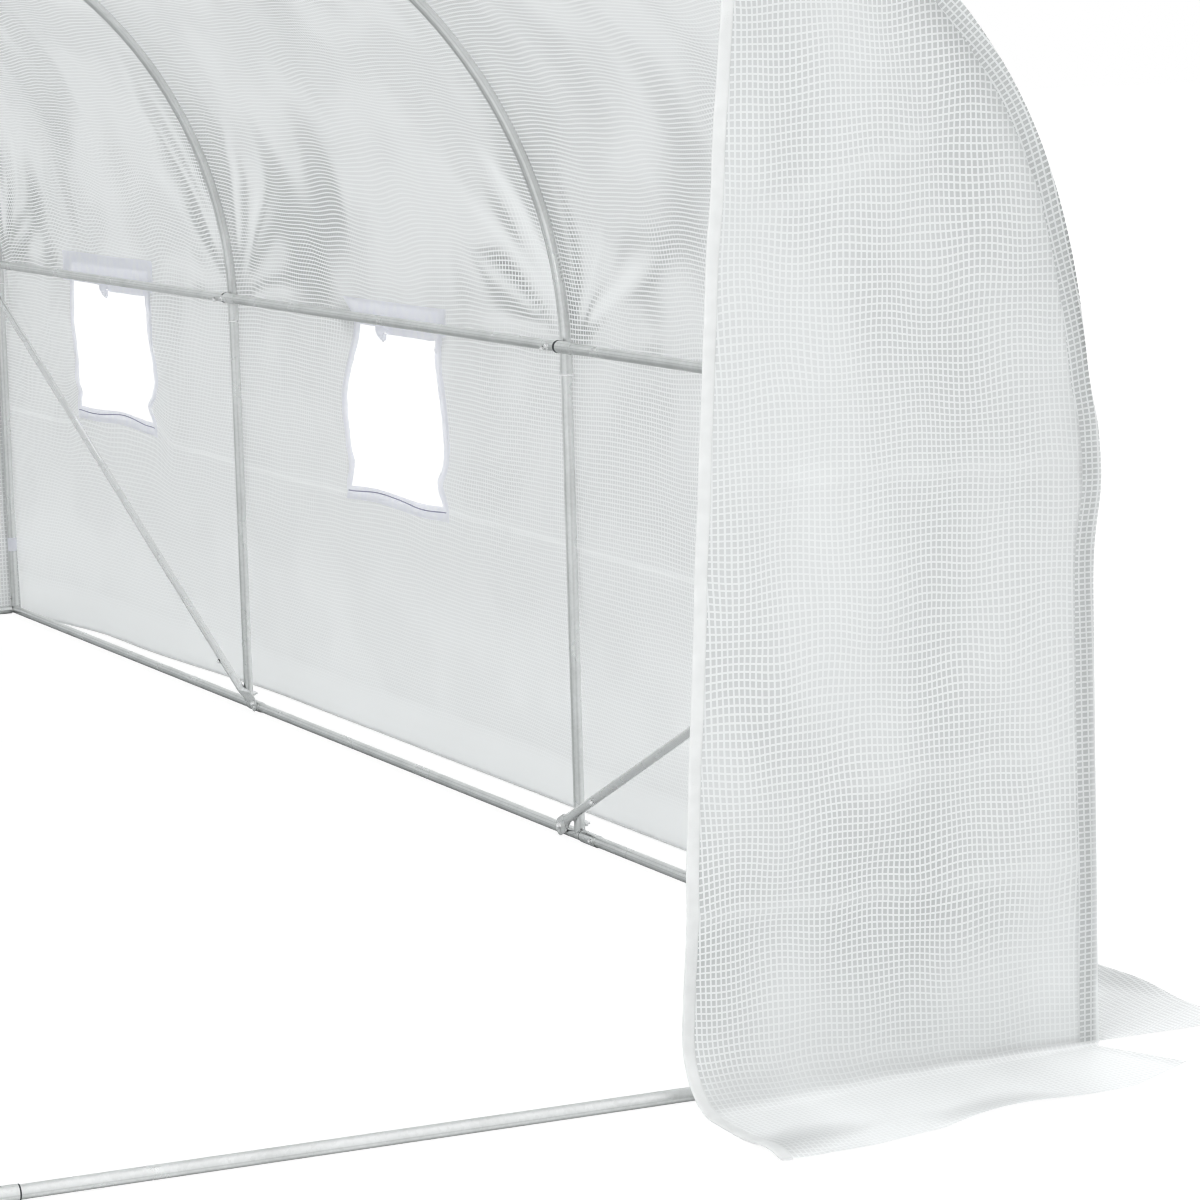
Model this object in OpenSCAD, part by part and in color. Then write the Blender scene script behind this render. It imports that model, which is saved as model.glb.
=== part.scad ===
// Polytunnel greenhouse: four steel tube hoops on legs and ground rails under a reinforced film
// cover with rolled-up window flaps, an open doorway and skirts on the ground.
// X is to the right seen from the doorway, Y runs back along the tunnel, Z is up.
// The origin is on the ground under the middle of the tunnel.

/* [Frame] */
// Width between the centre lines of the legs
tunnel_w = 2500; // [2300:10:3200]
// Distance from one hoop to the next
bay_l = 1950; // [1400:10:2500]
// Height of the side purlins, a little above where the arches start to bend
purlin_h = 1000; // [900:10:1300]
// Distance between the centres of the two shoulder bends of an arch
crown_w = 500; // [300:10:900]
// Rise of the arches' crown over the shoulder bends' own height
crown_rise = 30; // [20:1:80]
// Diameter of the frame tubes
tube_d = 22; // [18:1:30]
// Wall added by a swaged tube joint
swage_t = 1.5; // [0.5:0.25:3]
// Length of a swaged tube joint
swage_l = 70; // [40:5:120]
// Length of the swaged socket at each end of an arch
socket_l = 45; // [30:5:80]
// Length of the bent tube that reaches into its socket
socket_grip = 8; // [4:1:20]
// Depth of the arch ends below the side purlins
socket_drop = 60; // [60:5:120]
// Place of the joint of the front rail, from the middle of the doorway
rail_joint_x = 515; // [200:5:700]
// Clearance between a tube joint and the hoop beside it
joint_clear = 20; // [18:1:40]
// Diameter of the diagonal braces
brace_d = 19; // [14:1:24]
// Thickness of the flattened brace ends
brace_end_t = 3; // [2:0.5:5]
// Width of the flattened brace ends
brace_end_w = 26; // [20:1:34]
// Length of the flattened brace ends
brace_end_l = 55; // [40:5:80]
// Distance of the bolt at the top of a brace below the side purlins
brace_top_drop = 70; // [55:5:150]
// Distance of the bolt at the foot of a brace past its leg
brace_foot_past = 70; // [40:5:150]

/* [Cover] */
// Thickness of the cover solids
film_t = 3; // [2:0.5:6]
// Distance that the foot of a side wall stands out from the legs
foot_out = 70; // [20:5:120]
// Height at which the side walls start to lean out
flare_h = 300; // [150:10:450]
// Width of the ground skirts, from the leg line to the outer hem
skirt_w = 300; // [200:5:400]
// Width of the end skirts, from the hoop line to the outer hem
end_skirt_w = 310; // [200:5:400]
// Length of the mitred tip of the end skirts
skirt_tip = 70; // [20:5:120]

/* [Windows] */
// Width of a window opening
window_w = 560; // [300:10:800]
// Height of a window opening
window_h = 345; // [200:5:450]
// Width of the binding round a window
binding_w = 34; // [15:1:36]
// Thickness of the binding
binding_t = 2; // [1:0.5:3]
// Diameter of a rolled-up window flap
flap_d = 44; // [30:1:60]

/* [Door] */
// Width of the doorway at the ground
door_w = 1100; // [800:10:1300]
// Width of the doorway at its top
door_top_w = 1280; // [1000:10:1400]
// Distance of the doorway's top below the top of the arches
door_drop = 207; // [160:1:400]
// Diameter of the rolled-up door sheet
roll_d = 90; // [60:5:120]
// Length by which the door roll passes each side of the doorway
roll_past = 20; // [0:5:60]

/* [Hidden] */
$fn = 48;
// Clearance between curved pieces that rest on each other
seat = 0.3;
// Reach of the cutting shapes past the faces that they cut
cut = 20;
half_w = tunnel_w / 2;
tube_r = tube_d / 2;
frame_l = 3 * bay_l;
hoop_y = [-1.5 * bay_l, -0.5 * bay_l, 0.5 * bay_l, 1.5 * bay_l];
// The arch is three tangent arcs: two shoulders and a flatter crown
shoulder_x = crown_w / 2;
shoulder_r = half_w - shoulder_x;
arch_rise = shoulder_r + crown_rise;
crown_r = (pow(shoulder_x, 2) + pow(arch_rise, 2) - pow(shoulder_r, 2)) / (2 * crown_rise);
// The bend starts inside the sockets, a little below the purlins
bend_z = purlin_h - socket_drop + socket_l - socket_grip;
crown_z = bend_z + arch_rise - crown_r;
crown_a = atan2(shoulder_x, crown_r - arch_rise);
top_z = bend_z + arch_rise;
leg_top_z = purlin_h - socket_drop;
door_h = top_z - door_drop;
purlin_x = shoulder_x + sqrt(pow(shoulder_r, 2) - pow(purlin_h - bend_z, 2)) - tube_d - seat;
// Joints are tubes swaged out over their neighbours, and the ground rails rest on theirs
swage_d = tube_d + 2 * swage_t;
swage_r = swage_d / 2;
rail_z = swage_r;
// The cover rests on the joints of the arches
cover_off = swage_r + seat;
cover_x = half_w + cover_off;
end_y = frame_l / 2 + cover_off;
cover_l = 2 * (end_y + film_t);
// The windows hang just below the start of the bend
sill_h = bend_z - binding_w - window_h;
window_top = sill_h + window_h;
foot_x = cover_x + foot_out;
skirt_x = half_w + skirt_w;
// The end sheets fill the cover's inner outline, less the clearance
sheet_off = swage_r;
window_y = [-bay_l, 0, bay_l];
// A brace's foot stands just clear of the ground, and its round tube laps its flattened ends
brace_foot_clear = 1;
brace_lap = brace_end_l / 4;

// Shared shapes

// Mirror a piece to the left-hand side of the tunnel
module on_left() {
    mirror([1, 0, 0]) children();
}

// Mirror a piece to the back end of the tunnel
module at_back() {
    mirror([0, 1, 0]) children();
}

// Tube along Y between two places
module tube_y(x, z, y0, y1, d) {
    translate([x, y0, z]) rotate([-90, 0, 0]) cylinder(d = d, h = y1 - y0);
}

// Tube along X between two places
module tube_x(y, z, x0, x1, d) {
    translate([x0, y, z]) rotate([0, 90, 0]) cylinder(d = d, h = x1 - x0);
}

// One shoulder arc of a profile that is drawn outwards from the bend's axis
module shoulder_sweep() {
    translate([shoulder_x, 0, bend_z]) rotate([90, 0, 0])
        rotate_extrude(angle = 90 - crown_a, $fn = 96) translate([shoulder_r, 0]) children();
}

// The crown arc of a profile that is drawn outwards from the bend's axis
module crown_sweep() {
    translate([0, 0, crown_z]) rotate([90, 0, 0]) rotate([0, 0, 90 - crown_a])
        rotate_extrude(angle = 2 * crown_a, $fn = 96) translate([crown_r, 0]) children();
}

// Right half of an arch's joints: the socket for the leg and the sleeve between shoulder and crown
module arch_joints() {
    translate([half_w, 0, leg_top_z]) cylinder(d = swage_d, h = socket_l);
    translate([shoulder_x, 0, bend_z]) rotate([0, crown_a, 0]) translate([0, 0, shoulder_r])
        rotate([0, 90, 0]) cylinder(d = swage_d, h = swage_l, center = true);
}

// Arch of one hoop: two bent shoulder tubes and a flatter crown tube, joined by swaged sleeves
module arch(y) {
    color([0.74, 0.76, 0.76]) translate([0, y, 0]) {
        shoulder_sweep() circle(d = tube_d);
        on_left() shoulder_sweep() circle(d = tube_d);
        crown_sweep() circle(d = tube_d);
        arch_joints();
        on_left() arch_joints();
    }
}

// Leg of one hoop: straight tube with its foot cut to saddle the ground rail
module leg(y) {
    color([0.74, 0.76, 0.76]) difference() {
        translate([half_w, y, rail_z]) cylinder(d = tube_d, h = leg_top_z - rail_z);
        tube_y(half_w, rail_z, y - tube_d, y + tube_d, tube_d + 2 * seat);
    }
}

// Tube along the tunnel with a swaged joint beside each middle hoop
module long_tube(x, z) {
    color([0.74, 0.76, 0.76]) {
        tube_y(x, z, -frame_l / 2 - tube_r, frame_l / 2 + tube_r, tube_d);
        for (y = [hoop_y[1], hoop_y[2]])
            tube_y(x, z, y - joint_clear - swage_l, y - joint_clear, swage_d);
    }
}

// End ground rail between the side rails, with one swaged joint
module end_rail() {
    reach = half_w - tube_r - seat;
    color([0.74, 0.76, 0.76]) {
        tube_x(hoop_y[0], rail_z, -reach, reach, tube_d);
        tube_x(hoop_y[0], rail_z, -rail_joint_x - swage_l, -rail_joint_x, swage_d);
    }
}

// Flattened end of a brace, with its bolt hole's centre at the origin and the brace along +Z
module brace_end() {
    round_r = brace_end_w / 2;
    rotate([0, 90, 0]) cylinder(d = brace_end_w, h = brace_end_t);
    translate([0, -round_r, 0]) cube([brace_end_t, brace_end_w, brace_end_l]);
}

// Diagonal brace of an end bay, from the rail past the second leg up to the front leg.
// Its flattened ends lie against the inside of the tubes.
module brace() {
    foot_y = hoop_y[1] + brace_foot_past;
    foot_z = brace_end_w / 2 + brace_foot_clear;
    run_y = hoop_y[0] - foot_y;
    run_z = purlin_h - brace_top_drop - foot_z;
    span = sqrt(run_y * run_y + run_z * run_z);
    lean = atan2(-run_y, run_z);
    plate_x = half_w - tube_r - seat - brace_end_t;
    color([0.74, 0.76, 0.76]) translate([plate_x, foot_y, foot_z]) rotate([lean, 0, 0]) {
        brace_end();
        translate([0, 0, span]) mirror([0, 0, 1]) brace_end();
        translate([brace_end_t - brace_d / 2, 0, brace_end_l - brace_lap])
            cylinder(d = brace_d, h = span - 2 * (brace_end_l - brace_lap));
    }
}

// Roof cover over one shoulder of the arches
module roof_cover() {
    color([0.88, 0.90, 0.90]) shoulder_sweep()
        translate([cover_off, -cover_l / 2]) square([film_t, cover_l]);
}

// Side wall between the windows, as one panel on each side of every opening
module window_wall() {
    color([0.88, 0.90, 0.90]) difference() {
        translate([cover_x, -cover_l / 2, sill_h]) cube([film_t, cover_l, window_h]);
        for (y = window_y)
            translate([cover_x - cut, y - window_w / 2, sill_h - cut])
                cube([film_t + 2 * cut, window_w, window_h + 2 * cut]);
    }
}

// Strip of the side wall over the windows, up to the start of the bend
module wall_strip() {
    color([0.88, 0.90, 0.90])
        translate([cover_x, -cover_l / 2, window_top]) cube([film_t, cover_l, bend_z - window_top]);
}

// Lower side wall, which leans out to its foot on the skirt
module lower_wall() {
    color([0.88, 0.90, 0.90]) translate([0, cover_l / 2, 0]) rotate([90, 0, 0])
        linear_extrude(cover_l) polygon([
            [cover_x, sill_h],
            [cover_x, flare_h],
            [foot_x, film_t],
            [foot_x + film_t, film_t],
            [cover_x + film_t, flare_h],
            [cover_x + film_t, sill_h]
        ]);
}

// Webbing sewn round the window openings, on the inside of the wall
module window_bindings() {
    color([0.92, 0.93, 0.96]) for (y = window_y)
        difference() {
            translate([cover_x - binding_t, y - window_w / 2 - binding_w, sill_h - binding_w])
                cube([binding_t, window_w + 2 * binding_w, window_h + 2 * binding_w]);
            translate([cover_x - cut, y - window_w / 2, sill_h])
                cube([2 * cut, window_w, window_h]);
        }
}

// Window flaps rolled up over the openings, on the outside of the wall
module window_flaps() {
    x = cover_x + film_t + seat + flap_d / 2;
    z = window_top + flap_d / 2;
    color([0.90, 0.92, 0.92]) for (y = window_y)
        tube_y(x, z, y - window_w / 2 - binding_w, y + window_w / 2 + binding_w, flap_d);
}

// Disc of the end sheet's thickness
module sheet_disc(x, z, r) {
    translate([x, -end_y, z]) rotate([90, 0, 0]) cylinder(r = r, h = film_t, $fn = 96);
}

// Flat piece of the end sheet's thickness, given as an outline in X and Z
module sheet_plate(points) {
    translate([0, -end_y, 0]) rotate([90, 0, 0]) linear_extrude(film_t) polygon(points);
}

// Whole front end sheet: the outline inside the cover, standing on the skirt
module end_sheet() {
    side_x = half_w + sheet_off;
    leg_x = side_x + foot_out;
    far = 2 * crown_r;
    sheet_plate([
        [-leg_x, film_t],
        [leg_x, film_t],
        [side_x, flare_h],
        [side_x, bend_z],
        [-side_x, bend_z],
        [-side_x, flare_h]
    ]);
    intersection() {
        union() {
            sheet_disc(shoulder_x, bend_z, shoulder_r + sheet_off);
            sheet_disc(-shoulder_x, bend_z, shoulder_r + sheet_off);
            intersection() {
                sheet_disc(0, crown_z, crown_r + sheet_off);
                sheet_plate([
                    [0, crown_z],
                    [far * sin(crown_a), crown_z + far * cos(crown_a)],
                    [-far * sin(crown_a), crown_z + far * cos(crown_a)]
                ]);
            }
        }
        translate([-tunnel_w, -end_y - film_t - cut, bend_z])
            cube([2 * tunnel_w, film_t + 2 * cut, 2 * top_z]);
    }
}

// Part of the front end sheet inside an outline in X and Z
module sheet_part(points) {
    intersection() {
        end_sheet();
        translate([0, -end_y + cut, 0]) rotate([90, 0, 0]) linear_extrude(film_t + 2 * cut) polygon(points);
    }
}

// Front sheet beside the doorway
module front_panel() {
    color([0.86, 0.88, 0.88]) sheet_part([
        [door_w / 2, 0],
        [tunnel_w, 0],
        [tunnel_w, 2 * top_z],
        [door_top_w / 2, 2 * top_z],
        [door_top_w / 2, door_h]
    ]);
}

// Skirt of a side wall, flat on the ground
module side_skirt() {
    color([0.88, 0.90, 0.90]) translate([foot_x - film_t, -frame_l / 2, 0])
        cube([skirt_x - foot_x + film_t, frame_l, film_t]);
}

// Skirt of the front sheet from a place in X to the corner, with a mitred tip
module end_skirt(x0) {
    inner_y = -end_y;
    outer_y = -frame_l / 2 - end_skirt_w;
    color([0.88, 0.90, 0.90]) linear_extrude(film_t) polygon([
        [x0, inner_y],
        [x0, outer_y],
        [half_w, outer_y],
        [foot_x + skirt_tip, inner_y - end_skirt_w / 2],
        [foot_x, inner_y]
    ]);
}

// Sub-parts

module front_arch() { arch(hoop_y[0]); }
module second_arch() { arch(hoop_y[1]); }
module third_arch() { arch(hoop_y[2]); }
module back_arch() { arch(hoop_y[3]); }

module right_front_leg() { leg(hoop_y[0]); }
module right_second_leg() { leg(hoop_y[1]); }
module right_third_leg() { leg(hoop_y[2]); }
module right_back_leg() { leg(hoop_y[3]); }
module left_front_leg() { on_left() leg(hoop_y[0]); }
module left_second_leg() { on_left() leg(hoop_y[1]); }
module left_third_leg() { on_left() leg(hoop_y[2]); }
module left_back_leg() { on_left() leg(hoop_y[3]); }

// The purlins run on the inside of the hoops
module right_purlin() { long_tube(purlin_x, purlin_h); }
module left_purlin() { on_left() long_tube(purlin_x, purlin_h); }
module ridge_purlin() { long_tube(0, top_z - tube_d - seat); }

module right_ground_rail() { long_tube(half_w, rail_z); }
module left_ground_rail() { on_left() long_tube(half_w, rail_z); }
module front_ground_rail() { end_rail(); }
module back_ground_rail() { at_back() end_rail(); }

module right_front_brace() { brace(); }
module right_back_brace() { at_back() brace(); }
module left_front_brace() { on_left() brace(); }
module left_back_brace() { on_left() at_back() brace(); }

module right_roof_cover() { roof_cover(); }
module left_roof_cover() { on_left() roof_cover(); }
module crown_cover() {
    color([0.88, 0.90, 0.90]) crown_sweep()
        translate([cover_off, -cover_l / 2]) square([film_t, cover_l]);
}

module right_wall_strip() { wall_strip(); }
module left_wall_strip() { on_left() wall_strip(); }
module right_window_wall() { window_wall(); }
module left_window_wall() { on_left() window_wall(); }
module right_lower_wall() { lower_wall(); }
module left_lower_wall() { on_left() lower_wall(); }
module right_window_bindings() { window_bindings(); }
module left_window_bindings() { on_left() window_bindings(); }
module right_window_flaps() { window_flaps(); }
module left_window_flaps() { on_left() window_flaps(); }

module front_right_panel() { front_panel(); }
module front_left_panel() { on_left() front_panel(); }

// Front sheet over the doorway
module front_header() {
    color([0.86, 0.88, 0.88]) sheet_part([
        [-door_top_w / 2, door_h],
        [door_top_w / 2, door_h],
        [door_top_w / 2, 2 * top_z],
        [-door_top_w / 2, 2 * top_z]
    ]);
}

// Door sheet rolled up over the doorway, on the outside of the header
module rolled_door() {
    reach = door_top_w / 2 + roll_past;
    color([0.90, 0.92, 0.92])
        tube_x(-end_y - film_t - seat - roll_d / 2, door_h + roll_d / 2, -reach, reach, roll_d);
}

module back_panel() {
    color([0.86, 0.88, 0.88]) at_back() end_sheet();
}

module right_skirt() { side_skirt(); }
module left_skirt() { on_left() side_skirt(); }
module front_right_skirt() { end_skirt(door_w / 2); }
module front_left_skirt() { on_left() end_skirt(door_w / 2); }

// The back skirt runs across the whole end
module back_skirt() {
    at_back() {
        end_skirt(0);
        on_left() end_skirt(0);
    }
}

front_arch();
second_arch();
third_arch();
back_arch();
right_front_leg();
right_second_leg();
right_third_leg();
right_back_leg();
left_front_leg();
left_second_leg();
left_third_leg();
left_back_leg();
right_purlin();
left_purlin();
ridge_purlin();
right_ground_rail();
left_ground_rail();
front_ground_rail();
back_ground_rail();
right_front_brace();
right_back_brace();
left_front_brace();
left_back_brace();
right_roof_cover();
crown_cover();
left_roof_cover();
right_wall_strip();
left_wall_strip();
right_window_wall();
left_window_wall();
right_lower_wall();
left_lower_wall();
right_window_bindings();
left_window_bindings();
right_window_flaps();
left_window_flaps();
front_right_panel();
front_left_panel();
front_header();
rolled_door();
back_panel();
right_skirt();
left_skirt();
front_right_skirt();
front_left_skirt();
back_skirt();
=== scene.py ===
"""Polytunnel greenhouse: film cover, bindings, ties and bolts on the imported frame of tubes.

Every piece is worked out as whole arrays in metres, in the frame's own axes: X to the right seen from the
doorway, Y back along the tunnel, Z up. The film is described by s, the distance down from the ridge along
the cover, and y, the distance along the tunnel.
"""

import bmesh
import bpy
import numpy as np
from bpy.props import FloatProperty, FloatVectorProperty, PointerProperty
from bpy.types import Operator, Panel, PropertyGroup
from mathutils import Matrix, Vector


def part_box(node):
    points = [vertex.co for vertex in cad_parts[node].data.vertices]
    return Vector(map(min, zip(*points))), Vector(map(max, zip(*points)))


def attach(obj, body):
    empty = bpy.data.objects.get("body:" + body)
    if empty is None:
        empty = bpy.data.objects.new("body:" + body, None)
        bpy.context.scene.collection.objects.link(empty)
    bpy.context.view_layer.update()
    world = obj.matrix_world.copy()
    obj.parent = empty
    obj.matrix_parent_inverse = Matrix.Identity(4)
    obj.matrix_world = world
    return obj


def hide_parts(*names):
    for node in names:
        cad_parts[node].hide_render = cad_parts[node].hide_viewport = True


bl_info = {
    "name": "Polytunnel Greenhouse",
    "version": (1, 0, 0),
    "blender": (4, 5, 0),
    "location": "3D View > Sidebar > Polytunnel",
    "description": "Dresses a polytunnel's tube frame with its film cover, windows, skirts and bolts",
    "category": "Object",
}

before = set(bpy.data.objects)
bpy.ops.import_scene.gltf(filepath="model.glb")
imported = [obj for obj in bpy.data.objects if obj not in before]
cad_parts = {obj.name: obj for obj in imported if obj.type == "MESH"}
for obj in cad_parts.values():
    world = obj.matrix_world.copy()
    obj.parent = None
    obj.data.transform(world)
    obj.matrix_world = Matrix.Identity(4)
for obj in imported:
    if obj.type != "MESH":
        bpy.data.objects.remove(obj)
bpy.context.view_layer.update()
ROOT = "root"


# Places read from the frame
def low(node):
    """Lowest corner of a frame node."""
    return np.array(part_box(node)[0])


def high(node):
    """Highest corner of a frame node."""
    return np.array(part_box(node)[1])


def middle(node):
    """Centre of a frame node's box."""
    return (low(node) + high(node)) / 2


ARCHES = ("front_arch", "second_arch", "third_arch", "back_arch")
HOOP_Y = np.array([middle(name)[1] for name in ARCHES])
BAY = HOOP_Y[1] - HOOP_Y[0]
BAY_Y = (HOOP_Y[:-1] + HOOP_Y[1:]) / 2
HALF_W = middle("right_front_leg")[0]
TUBE_R = (high("right_front_leg") - low("right_front_leg"))[1] / 2
LEG_TOP_Z = high("right_front_leg")[2]
RAIL_Z = middle("right_ground_rail")[2]
PURLIN_X = middle("right_purlin")[0]
PURLIN_Z = middle("right_purlin")[2]
RIDGE_Z = middle("ridge_purlin")[2]
SWAGE_R = (high("right_purlin") - low("right_purlin"))[0] / 2
COVER_X = low("right_wall_strip")[0]
BEND_Z = high("right_wall_strip")[2]
WINDOW_TOP = low("right_wall_strip")[2]
SILL_Z = high("right_lower_wall")[2]
BINDING_W = high("right_window_bindings")[2] - WINDOW_TOP
WINDOW_W = (high("right_window_bindings") - low("right_window_bindings"))[1] - 2 * BAY - 2 * BINDING_W
FLAP_R = (high("right_window_flaps") - low("right_window_flaps"))[2] / 2
TOP_Z = high("front_arch")[2] - TUBE_R
END_Y = -high("front_right_panel")[1]
SKIRT_X = high("right_skirt")[0]
DOOR_HALF = low("front_right_skirt")[0]
DOOR_TOP_HALF = high("front_header")[0]
DOOR_H = low("front_header")[2]
ROLL_R = (high("rolled_door") - low("rolled_door"))[2] / 2
BRACE_R = (high("right_front_brace") - low("right_front_brace"))[0] / 2

# The cover's cross-section: a crown arc, two shoulder arcs and upright walls
SHOULDER_R = 1.0
SHOULDER_X = HALF_W - SHOULDER_R
RISE = TOP_Z - BEND_Z
CROWN_R = (SHOULDER_X**2 + RISE**2 - SHOULDER_R**2) / (2 * (RISE - SHOULDER_R))
CROWN_Z = TOP_Z - CROWN_R
CROWN_A = np.arctan2(SHOULDER_X, CROWN_R - RISE)
FILM_OFF = COVER_X - HALF_W + 0.0015
CROWN_S = (CROWN_R + FILM_OFF) * CROWN_A
BEND_S = CROWN_S + (SHOULDER_R + FILM_OFF) * (np.pi / 2 - CROWN_A)
GROUND_S = BEND_S + BEND_Z
# How far the cover reaches past the end sheets, and the width of its turned-in hem there
END_LAP = 0.0055
HEM_W = 0.034
# Height below which the side walls lean out, and how sharply they do
LEAN_Z = 0.52
LEAN_POWER = 1.35
# Grid step of the cover's halves, right before left, and at its ends
COVER_STEPS = (0.0165, 0.024)
END_STEP = 0.012

# The windows: each opening sits a little over the frame's, and its tape laps the film by a seam
OPENING_RISE = 0.036
HOLE_TOP_S = BEND_S + BEND_Z - WINDOW_TOP - OPENING_RISE
SILL_S = BEND_S + BEND_Z - SILL_Z
SILL_TAPE = 0.030
SEAM_LAP = 0.012
# Rise of each window's sill, front to back
SILL_RISE = (0.0, 0.006, 0.048)
# Each window's back edge: shift of the whole edge, of its top corner, and its outward bow
BACK_EDGE = ((0.0, 0.0, 0.042), (-0.016, -0.080, 0.015), (0.036, 0.014, 0.030))
# The header band over a window: its top, each one's rise, and its reach past the opening to front and back
BAND_TOP_S = BEND_S - 0.066
BAND_RISE = (0.0, -0.006, 0.016)
BAND_PAST = ((0.036, 0.085), (0.052, 0.035), (0.058, 0.115))

# The rolls: shift from the frame's place, core radius, sheet length, sag, and the ties' places and width
FLAP_OUT = 0.004
FLAP_RISE = 0.034
FLAP_SHORT = 0.004
FLAP_CORE_R = 0.006
FLAP_L = 0.40
FLAP_SAG = 0.004
FLAP_TIES = (0.3, 0.7)
FLAP_TIE_W = 0.018
DOOR_SHORT = 0.006
DOOR_CORE_R = 0.013
DOOR_L = 1.95
DOOR_SAG = 0.006
DOOR_TIES = (0.14, 0.5, 0.86)
DOOR_TIE_W = 0.028
# A tie's radius as a share of its roll's, and the depth of the disc that closes a roll's end
TIE_SHARE = 0.80
ROLL_END_DEPTH = 0.002

# The end sheets: they hang just past the frame's ends, with their rims just inside the arch's outer line
END_GAP = 0.002
RIM_INSET = 0.0012
GROUND_GAP = 0.0012
PANEL_TOP_DROP = 0.03
# How far each front panel's doorway edge is drawn aside, right before left
FRONT_DRAW = (0.0, 0.045)
# The doorway's tape laps past the frame's edge at its foot and stays short of it at the top
EDGE_PAST = (0.0226, -0.004)
EDGE_TAPE_W = 0.021
EDGE_TAPE_R = 0.0023
# Height, slope, place and stretch across of the front panels' packing creases
PANEL_CREASES = (
    (0.0026, 0.02, 0.285, 0.45, 1.40), (0.0020, -0.03, 0.955, 0.62, 1.40),
    (0.0024, 0.42, 1.28, 0.60, 1.05), (0.0018, 0.04, 0.455, 0.75, 1.40),
)
# Length of a front skirt on the ground, at shares of the way from the doorway to the corner
FRONT_SKIRT = ((0.0, 0.306), (0.22, 0.308), (0.56, 0.262), (0.82, 0.240), (1.0, 0.160))
BACK_SKIRT_W = 0.29
# Height of a side skirt over the ground, its lap under the wall's foot, and its hem's inset from the frame's
SIDE_SKIRT_GAP = 0.0014
SIDE_SKIRT_LAP = 0.004
SIDE_SKIRT_INSET = 0.004

# Bolt eyes of the braces in the frame, and the wider flattened ends of the real tubes
BRACE_EYE = 0.013
BRACE_END_R = 0.0185
BRACE_END_L = 0.055
BRACE_END_T = 0.0016
# The small bolt on a brace: its distance from the foot
BRACE_BOLT = 0.21
# Turned outlines of the bolts and nuts, as (radius, height)
WASHER = ((0.0, 0.0012), (0.0088, 0.0012), (0.0092, 0.0006), (0.0092, 0.0), (0.0, 0.0))
BOLT_HEAD = ((0.0, 0.0062), (0.0030, 0.0060), (0.0050, 0.0050), (0.0060, 0.0030), (0.0062, 0.0), (0.0, 0.0))
NUT = (
    (0.0, 0.0120), (0.0026, 0.0116), (0.0030, 0.0060), (0.0060, 0.0058), (0.0066, 0.0030), (0.0066, -0.0020),
    (0.0, -0.0020),
)
# Places of the bolts and of the dark rings of painted shade in the joints' gaps: along a purlin or rail from
# its hoop, and up a leg from its rail
CROSSING_BOLT = 0.018
PURLIN_SHADE_RING = 0.0150
SLEEVE_BOLT = 0.044
RAIL_SHADE_RING = 0.0185
RAIL_BOLT = 0.075
FOOT_BOLT = 0.034
FOOT_NUT = 0.022
# Places across the tunnel of the end rails' joint bolt and dark ring of painted shade
END_RAIL_BOLT_X = -0.545
END_RAIL_SHADE_RING_X = -0.5135
# The webbing ties on the end legs
LEG_TIE_Z = 0.20
LEG_TIE_W = 0.038

# Seeds of the random waves, right side before left
COVER_SEEDS = (21, 41)
FRONT_SEEDS = (61, 67)
SKIRT_SEEDS = (91, 97)
HEADER_SEED = 71
DOOR_SEED = 73
BACK_SEED = 81
CREASE_SEED = 11

# Edges sharper than this stay sharp in the shading
SHARP_ANGLE = np.radians(45.0)
# Painted reflections round a tube: the zinc's tone with light and dark streaks, from the side that faces down
# and back to the side that faces up and front
TUBE_PAINTED_REFLECTIONS = (
    (0.0, 0.66), (0.16, 0.72), (0.27, 0.80), (0.37, 0.93), (0.43, 0.78),
    (0.50, 0.97), (0.62, 1.0), (0.69, 0.84), (0.76, 1.0), (1.0, 1.0),
)
# Way a surface faces to get the lightest painted reflection
PAINTED_LIGHT_WAY = (0.30, -0.50, 0.81)
# Heights between which the film goes from lying on the ground to hanging free
LYING_Z = (0.002, 0.011)


# Settings
class FilmSettings(PropertyGroup):
    """Sizes and colours of the reinforced film."""

    pitch_across: FloatProperty(
        name="Cross thread pitch", description="Distance between the threads across the roll", default=0.0092,
        unit="LENGTH",
    )
    pitch_along: FloatProperty(
        name="Long thread pitch", description="Distance between the threads along the roll", default=0.0112,
        unit="LENGTH",
    )
    thread_w: FloatProperty(
        name="Thread width", description="Width of a thread", default=0.0031, unit="LENGTH"
    )
    thread_colour: FloatVectorProperty(
        name="Thread colour", description="Colour of the threads", subtype="COLOR",
        default=(0.866, 0.879, 0.877),
    )
    cell_colour: FloatVectorProperty(
        name="Cell colour", description="Colour of the milky film between threads", subtype="COLOR",
        default=(0.745, 0.757, 0.756),
    )
    # Painted light: a lift of the tone of the whitest film above its own colour, which brightens the shaded
    # foot of the walls
    painted_lift: FloatProperty(
        name="Bleach", description="How much lighter the film is at the foot of the walls", default=1.09
    )
    clear_colour: FloatVectorProperty(
        name="Clear cell colour", description="Colour of the film where it is clear", subtype="COLOR",
        default=(0.37, 0.38, 0.38),
    )


class CoverSettings(PropertyGroup):
    """How the film hangs on the hoops."""

    sag: FloatProperty(name="Sag", description="Sag of the roof between hoops", default=0.016, unit="LENGTH")
    ripple: FloatProperty(
        name="Ripple", description="Height of the soft waves", default=0.0045, unit="LENGTH"
    )
    crease: FloatProperty(
        name="Crease", description="Height of the creases at the purlins", default=0.0075, unit="LENGTH"
    )
    foot_reach: FloatProperty(
        name="Foot reach", description="Distance of the wall's foot past the legs in the bays", default=0.122,
        unit="LENGTH",
    )
    corner_reach: FloatProperty(
        name="Corner reach", description="Distance of the wall's foot past the legs at the front",
        default=0.0, unit="LENGTH",
    )


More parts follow.
